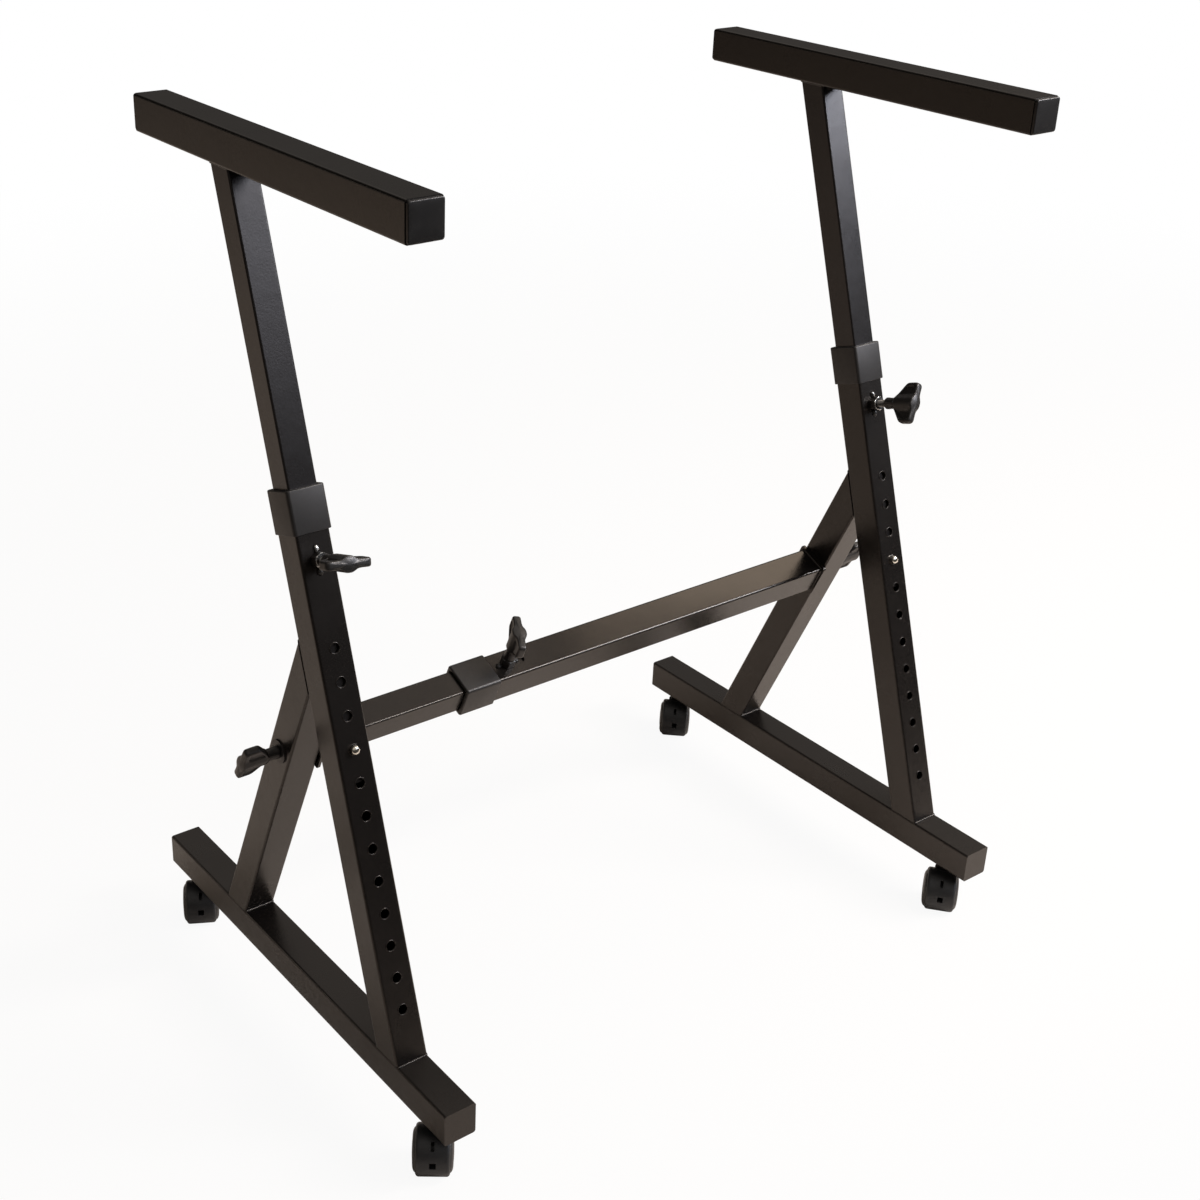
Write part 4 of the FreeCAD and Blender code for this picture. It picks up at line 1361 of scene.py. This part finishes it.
@dataclass(frozen=True)
class SideFrame(Assembly):
    """One frame's welds, nuts, collar and screws."""

    side: Side
    knob_gap: float
    knob_turn: float
    screw_hold: float = 18.2
    strut_turn: float = 8.0
    strut_gap: float = 1.9
    strut_low: float = -46.0
    collar: Collar = Collar(509.8, 548.0, 551.1)
    insert: HexNut = HexNut(17.0, 8.0, 10.1, 0.2)
    insert_rise: float = 1.5
    lock_nut: HexNut = HexNut(16.0, 6.0, 10.1, 0.2)
    lock_drop: float = 6.0
    plate: float = 3.0

    def build(self) -> None:
        """Build and dress the frame's small parts."""
        plan, side, word = self.layout, self.side, self.side.word
        body = f"{word}_frame"
        self.welds(body)
        face = plan.upright(side).shift(y=-plan.tube / 2)
        holes = [face.shift(z=plan.hole_start + plan.hole_pitch * number).turn("x", 90.0)
                 for number in range(plan.hole_count)]
        make_piece(f"{word}_hole_rims", HoleRim().at(*holes), body, self.finishes.coat)
        self.nuts(body)
        make_piece(f"{word}_collar", self.collar.at(plan.upright(side)), body, self.finishes.collar,
                   [f"{word}_height_collar"], Crease.MOULDED)
        self.knob(f"{word}_height", plan.height_screw(side), self.knob_gap - self.screw_hold,
                  self.knob_gap, self.knob_turn)
        self.knob(f"{word}_strut", plan.strut_screw(side), self.strut_low, self.strut_gap,
                  side.value * self.strut_turn)

    def welds(self, body: str) -> None:
        """Lay the weld beads at the feet of the upright and strut, the strut's top and the plate.

        Args:
            body: the frame's body.
        """
        plan, word = self.layout, self.side.word
        half = plan.tube / 2
        lean, slope = math.radians(plan.upright_lean), math.radians(plan.strut_lean)
        floor = Axes().shift(self.side.value * plan.frame_x, 0.0, plan.base_top)
        steep = lean + slope
        meet = ((plan.strut_foot + plan.upright_foot) * math.cos(lean) - half) / math.sin(steep)
        top = plan.strut(self.side).shift(z=meet).turn("x", -math.degrees(steep) + 90.0)
        beads = (WeldBead(half, half / math.cos(lean)).at(floor.shift(y=-plan.upright_foot))
                 + WeldBead(half, half / math.cos(slope)).at(floor.shift(y=plan.strut_foot))
                 + WeldBead(half, half / math.sin(steep)).at(top))
        make_piece(f"{word}_frame_welds", beads, body, self.finishes.coat, crease=Crease.WELD)
        plate = plan.strut_screw(self.side).shift(z=-plan.tube - self.plate).turn("x", 180.0)
        size = half if self.side is Side.RIGHT else plan.inner / 2
        make_piece(f"{word}_plate_weld", WeldBead(size, size, flush=1.3).at(plate), body,
                   self.finishes.coat, crease=Crease.WELD)

    def nuts(self, body: str) -> None:
        """Make the height nut, the caster nuts and the tacks that hold the height nut.

        Args:
            body: the frame's body.
        """
        plan, word = self.layout, self.side.word
        front = plan.height_screw(self.side)
        parts = HexNut().at(front.turn("z", 90.0))
        for end in End:
            spot = plan.caster(self.side, end)
            parts += self.insert.at(spot.shift(z=plan.caster_rise + self.insert_rise))
            parts += self.lock_nut.at(spot.shift(z=plan.caster_rise - self.lock_drop))
        make_piece(f"{word}_nuts", parts, body, self.finishes.nut, [f"{word}_weld_nuts"], Crease.NUT)
        # The lower tack has far less bare metal than the upper one, so it stays dark: painted shade
        # where the knob shades it.
        tacks = WeldTack().at(front) + WeldTack(bare=0.2).at(front.turn("z", 180.0))
        make_piece(f"{word}_nut_tacks", tacks, body, self.finishes.tack)


@dataclass(frozen=True)
class UpperPost(Assembly):
    """The telescoping post's weld, arm caps and spring button."""

    side: Side
    arm_front: float = 292.2
    arm_back: float = 153.1

    def build(self) -> None:
        """Build and dress the post's small parts."""
        plan, word = self.layout, self.side.word
        arm = plan.arm(self.side)
        half = plan.inner / 2
        bead = WeldBead(half, half / math.cos(math.radians(plan.upright_lean)), 2.0, flush=1.1)
        make_piece(f"{word}_arm_weld", bead.at(arm.turn("x", 90.0).shift(z=-plan.tube / 2)),
                   f"{word}_upper", self.finishes.coat, crease=Crease.WELD)
        caps = ArmCap().at(arm.shift(z=-self.arm_front).turn("x", 180.0), arm.shift(z=self.arm_back))
        make_piece(f"{word}_end_caps", caps, f"{word}_upper", self.finishes.cap,
                   [f"{word}_arm_caps"], Crease.MOULDED)
        pin = plan.upright(self.side).shift(z=plan.button_place).turn("x", 90.0)
        make_piece(f"{word}_button_head", SpringButton().at(pin), f"{word}_button_pin",
                   self.finishes.nickel, [f"{word}_button"])


@dataclass(frozen=True)
class Crossbar(Assembly):
    """The crossbar's sleeve, nut, screw and wing knob."""

    knob_turn: float = 65.0
    knob_gap: float = 9.8
    screw_low: float = -2.2
    sleeve: Collar = Collar(-128.0, -167.0, -170.0, bevel=1.8)

    def build(self) -> None:
        """Build and dress the crossbar's small parts."""
        body = "right_frame"
        sleeve = self.sleeve.at(self.layout.bar().turn("y", 90.0))
        make_piece("crossbar_collar", sleeve, body, self.finishes.collar, ["crossbar_sleeve"],
                   Crease.MOULDED)
        top = self.layout.bar_screw()
        make_piece("crossbar_weld_nut", HexNut(bare=0.6).at(top), body, self.finishes.nut,
                   ["crossbar_nut"], Crease.NUT)
        tacks = (WeldTack(bare=0.45).at(top.turn("z", 90.0))
                 + WeldTack(bare=0.3).at(top.turn("z", -90.0)))
        make_piece("crossbar_nut_tacks", tacks, body, self.finishes.tack)
        self.knob("crossbar", top, self.screw_low, self.knob_gap, self.knob_turn)


@dataclass(frozen=True)
class Caster(Assembly):
    """One swivel caster's hood and wheels."""

    side: Side
    end: End
    swivel: float

    def build(self) -> None:
        """Build and dress the caster."""
        name = f"{self.side.word}_{self.end.word}"
        ground = self.layout.caster(self.side, self.end, self.swivel)
        hood = CasterHood()
        make_piece(f"{name}_fender", hood.at(ground), f"{name}_caster", self.finishes.hood,
                   [f"{name}_hood"], Crease.HOOD)
        for hand in Hand:
            axle = ground.shift(0.0, hood.axle_y, hood.axle_z).turn("y", hand.value * 90.0)
            make_piece(f"{name}_{hand.word}_roller", CasterWheel().at(axle),
                       f"{name}_{hand.word}_wheel", self.finishes.wheel,
                       [f"{name}_wheel_{hand.word}"])


class PackedParts:
    """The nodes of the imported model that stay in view."""

    def __init__(self, finishes: Finishes) -> None:
        """Hold the tubes' finishes, and the other nodes' by the end of their names."""
        self.tubes, self.coat = finishes.tubes, finishes.coat.material
        self.endings = {"_stem": finishes.stem, "_axle": finishes.zinc,
                        "_strut_washer": finishes.knob.material, "_button_spring": finishes.spring}

    def finish_of(self, node: str) -> Material:
        """Return a node's finish by its name."""
        endings = (made for ending, made in self.endings.items() if node.endswith(ending))
        return self.tubes.get(node) or next(endings, self.coat)

    def dress(self) -> None:
        """Give every shown node its finish."""
        for name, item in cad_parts.items():
            item.data.materials.clear()
            item.data.materials.append(self.finish_of(name))
            log.info("%s: finish %s", name, item.data.materials[0].name)


# Studio

@dataclass(frozen=True)
class Viewpoint:
    """The photograph's camera, found from the stand's straight edges."""

    place: Triple = (-1.0862, -1.2805, 1.2555)
    yaw: float = 36.889
    pitch: float = -25.974
    roll: float = 1.369
    focal_px: float = 1782.9
    middle_px: tuple[float, float] = (499.5, 563.9)
    image_px: float = 1200.0
    sensor_mm: float = 36.0

    def build(self) -> None:
        """Make the camera and let the scene use it."""
        yaw, pitch, roll = (math.radians(a) for a in (self.yaw, self.pitch, self.roll))
        ahead = Vector((math.sin(yaw) * math.cos(pitch), math.cos(yaw) * math.cos(pitch),
                        math.sin(pitch)))
        level = ahead.cross(Vector((0, 0, 1))).normalized()
        upright = level.cross(ahead)
        right = level * math.cos(roll) + upright * math.sin(roll)
        up = upright * math.cos(roll) - level * math.sin(roll)
        camera = bpy.data.objects.new("camera", bpy.data.cameras.new("camera"))
        camera.data.sensor_width = self.sensor_mm
        camera.data.lens = self.focal_px / self.image_px * self.sensor_mm
        camera.data.shift_x = (self.image_px / 2 - self.middle_px[0]) / self.image_px
        camera.data.shift_y = (self.middle_px[1] - self.image_px / 2) / self.image_px
        turn = Matrix((right, up, -ahead)).transposed().to_4x4()
        camera.matrix_world = Matrix.Translation(self.place) @ turn
        bpy.context.scene.collection.objects.link(camera)
        bpy.context.scene.camera = camera


@dataclass(frozen=True)
class Softbox:
    """A soft rectangular lamp that points at a spot."""

    name: str
    place: Triple
    aim: Triple
    colour: Triple
    power: float
    width: float
    depth: float

    def build(self) -> None:
        """Make the lamp."""
        data = bpy.data.lights.new(self.name, "AREA")
        data.shape = "RECTANGLE"
        data.size, data.size_y = self.width, self.depth
        data.energy, data.color = self.power, self.colour
        lamp = bpy.data.objects.new(self.name, data)
        lamp.location = self.place
        aim = Vector(self.aim) - Vector(self.place)
        lamp.rotation_euler = aim.to_track_quat("-Z", "Y").to_euler()
        lamp.visible_camera = False
        bpy.context.scene.collection.objects.link(lamp)


class Studio:
    """Pale floor, white surroundings and soft lamps."""

    daylight = (0.80, 0.87, 1.0)
    lamps = (
        Softbox("warm_lamp", (1.85, 0.25, 2.25), (0.15, 0.0, 0.35), (1.0, 0.84, 0.66), 7.0, 0.9, 0.9),
        Softbox("window", (2.3, -2.05, 2.15), (0.2, 0.0, 0.5), daylight, 68.0, 1.1, 1.1),
        Softbox("side_window", (0.85, -2.1, 1.85), (-0.3, 0.0, 0.8), daylight, 7.0, 0.8, 0.8),
        Softbox("strip_lamp", (1.4, -1.2, 1.95), (1.4, 0.05, 0.36), (1.0, 0.97, 0.94), 54.0, 1.6, 0.24),
        Softbox("floor_lamp", (-2.1, 1.9, 0.95), (-2.0, 1.9, 0.0), (1.0, 0.90, 0.80), 7.5, 1.3, 1.3))
    floor_reach = 6.0
    stand_middle = (0.35, -0.1, 0.0)
    near_papers = ((0.70, 0.62, 0.55), (0.72, 0.64, 0.57))
    # The far tone is a painted falloff of light away from the stand, and the front tone is painted shade
    # in front of it.
    far_painted_falloff = (0.52, 0.45, 0.39)
    front_painted_shade = (0.05, 0.045, 0.04)
    white_share = 0.93
    room_levels = ((0.0, 0.07), (0.28, 0.08), (0.60, 0.47), (0.78, 0.58), (1.0, 0.95))
    dim_share = 0.12

    def build(self) -> None:
        """Make the studio."""
        Viewpoint().build()
        for lamp in self.lamps:
            lamp.build()
        self.floor()
        self.world()
        bpy.context.scene.view_settings.view_transform = "Standard"

    def floor(self) -> None:
        """Lay the floor: pale paper that looks near white but keeps the stand's shadow.

        Its colour darkens away from the stand, a painted falloff of light, and is near black in front of
        it, painted shade; its edge fades into the white surroundings.
        """
        corners = [(x * self.floor_reach, y * self.floor_reach, 0.0)
                   for x, y in ((-1, -1), (1, -1), (1, 1), (-1, 1))]
        mesh = bpy.data.meshes.new("floor")
        mesh.from_pydata(corners, [], [(0, 1, 2, 3)])
        paint = Paint("floor_paper")
        shade = paint.noise(0.6, 2.0, 0.5)
        far = paint.node("ShaderNodeVectorMath", {0: paint.place, 1: self.stand_middle},
                         output="Value", settings={"operation": "DISTANCE"})
        front = paint.part(paint.place, "Y").step(-0.35, -1.1)
        # Away from the stand the paper darkens, a painted falloff of light, and in front of it the paper
        # turns near black, painted shade; only reflections and bounced light see this, as the camera
        # sees white there.
        paper_with_painted_shade = paint.blend(far.step(0.8, 4.0), paint.blend(shade, *self.near_papers), self.far_painted_falloff)
        paper_with_painted_shade = paint.node("ShaderNodeBsdfDiffuse", {
            "Color": paint.blend(front, paper_with_painted_shade, self.front_painted_shade)})
        white = paint.node("ShaderNodeEmission", {"Color": (1.0, 1.0, 1.0), "Strength": 1.0})
        edge = far.step(1.2, 3.6).higher(front)
        share = paint.seen() * (self.white_share + (1 - self.white_share) * edge)
        paint.close(paint.node("ShaderNodeMixShader", {0: share, 1: paper_with_painted_shade, 2: white}))
        mesh.materials.append(paint.material)
        floor = bpy.data.objects.new("floor", mesh)
        bpy.context.scene.collection.objects.link(floor)

    def world(self) -> None:
        """Surround the stand: white where the camera looks, else a room with a pale ceiling.

        The room's back left quarter is dim, so that the tubes' left upper edges turn dark.
        """
        world = bpy.data.worlds.new("surroundings")
        world.use_nodes = True
        room = Nodes(world.node_tree)
        towards = room.node("ShaderNodeTexCoord", output="Generated")
        walls = room.node("ShaderNodeValToRGB", {"Fac": room.part(towards, "Z")}, stops=[
            (height, (level, level * 0.93, level * 0.86)) for height, level in self.room_levels])
        sides = [room.node("ShaderNodeMapRange", {
            "Value": room.part(towards, axis), "From Min": dim, "From Max": pale,
            "To Min": self.dim_share, "To Max": 1.0})
            for axis, dim, pale in (("X", -0.15, 0.20), ("Y", 0.25, -0.15))]
        dimmed = room.node("ShaderNodeVectorMath", {0: walls, "Scale": sides[0].higher(sides[1])},
                           settings={"operation": "SCALE"})
        colour = room.blend(room.seen(), dimmed, (1.0, 1.0, 1.0))
        room.close(room.node("ShaderNodeBackground", {"Color": colour}), "ShaderNodeOutputWorld")
        bpy.context.scene.world = world


def main() -> None:
    """Build the studio and the stand's parts in order."""
    logging.basicConfig(level=logging.INFO, format="%(name)s: %(message)s")
    Studio().build()
    layout = Layout()
    finishes = Finishes(layout)
    PackedParts(finishes).dress()
    SideFrame(layout, finishes, Side.LEFT, 16.0, -8.0).build()
    SideFrame(layout, finishes, Side.RIGHT, 21.0, 60.0).build()
    for side in Side:
        UpperPost(layout, finishes, side).build()
    Crossbar(layout, finishes).build()
    swivels = {(Side.LEFT, End.FRONT): 36.0, (Side.LEFT, End.BACK): 28.0,
               (Side.RIGHT, End.FRONT): 50.0, (Side.RIGHT, End.BACK): 43.0}
    for (side, end), swivel in swivels.items():
        Caster(layout, finishes, side, end, swivel).build()
    log.info("boxes written")


if __name__ == "__main__":
    main()
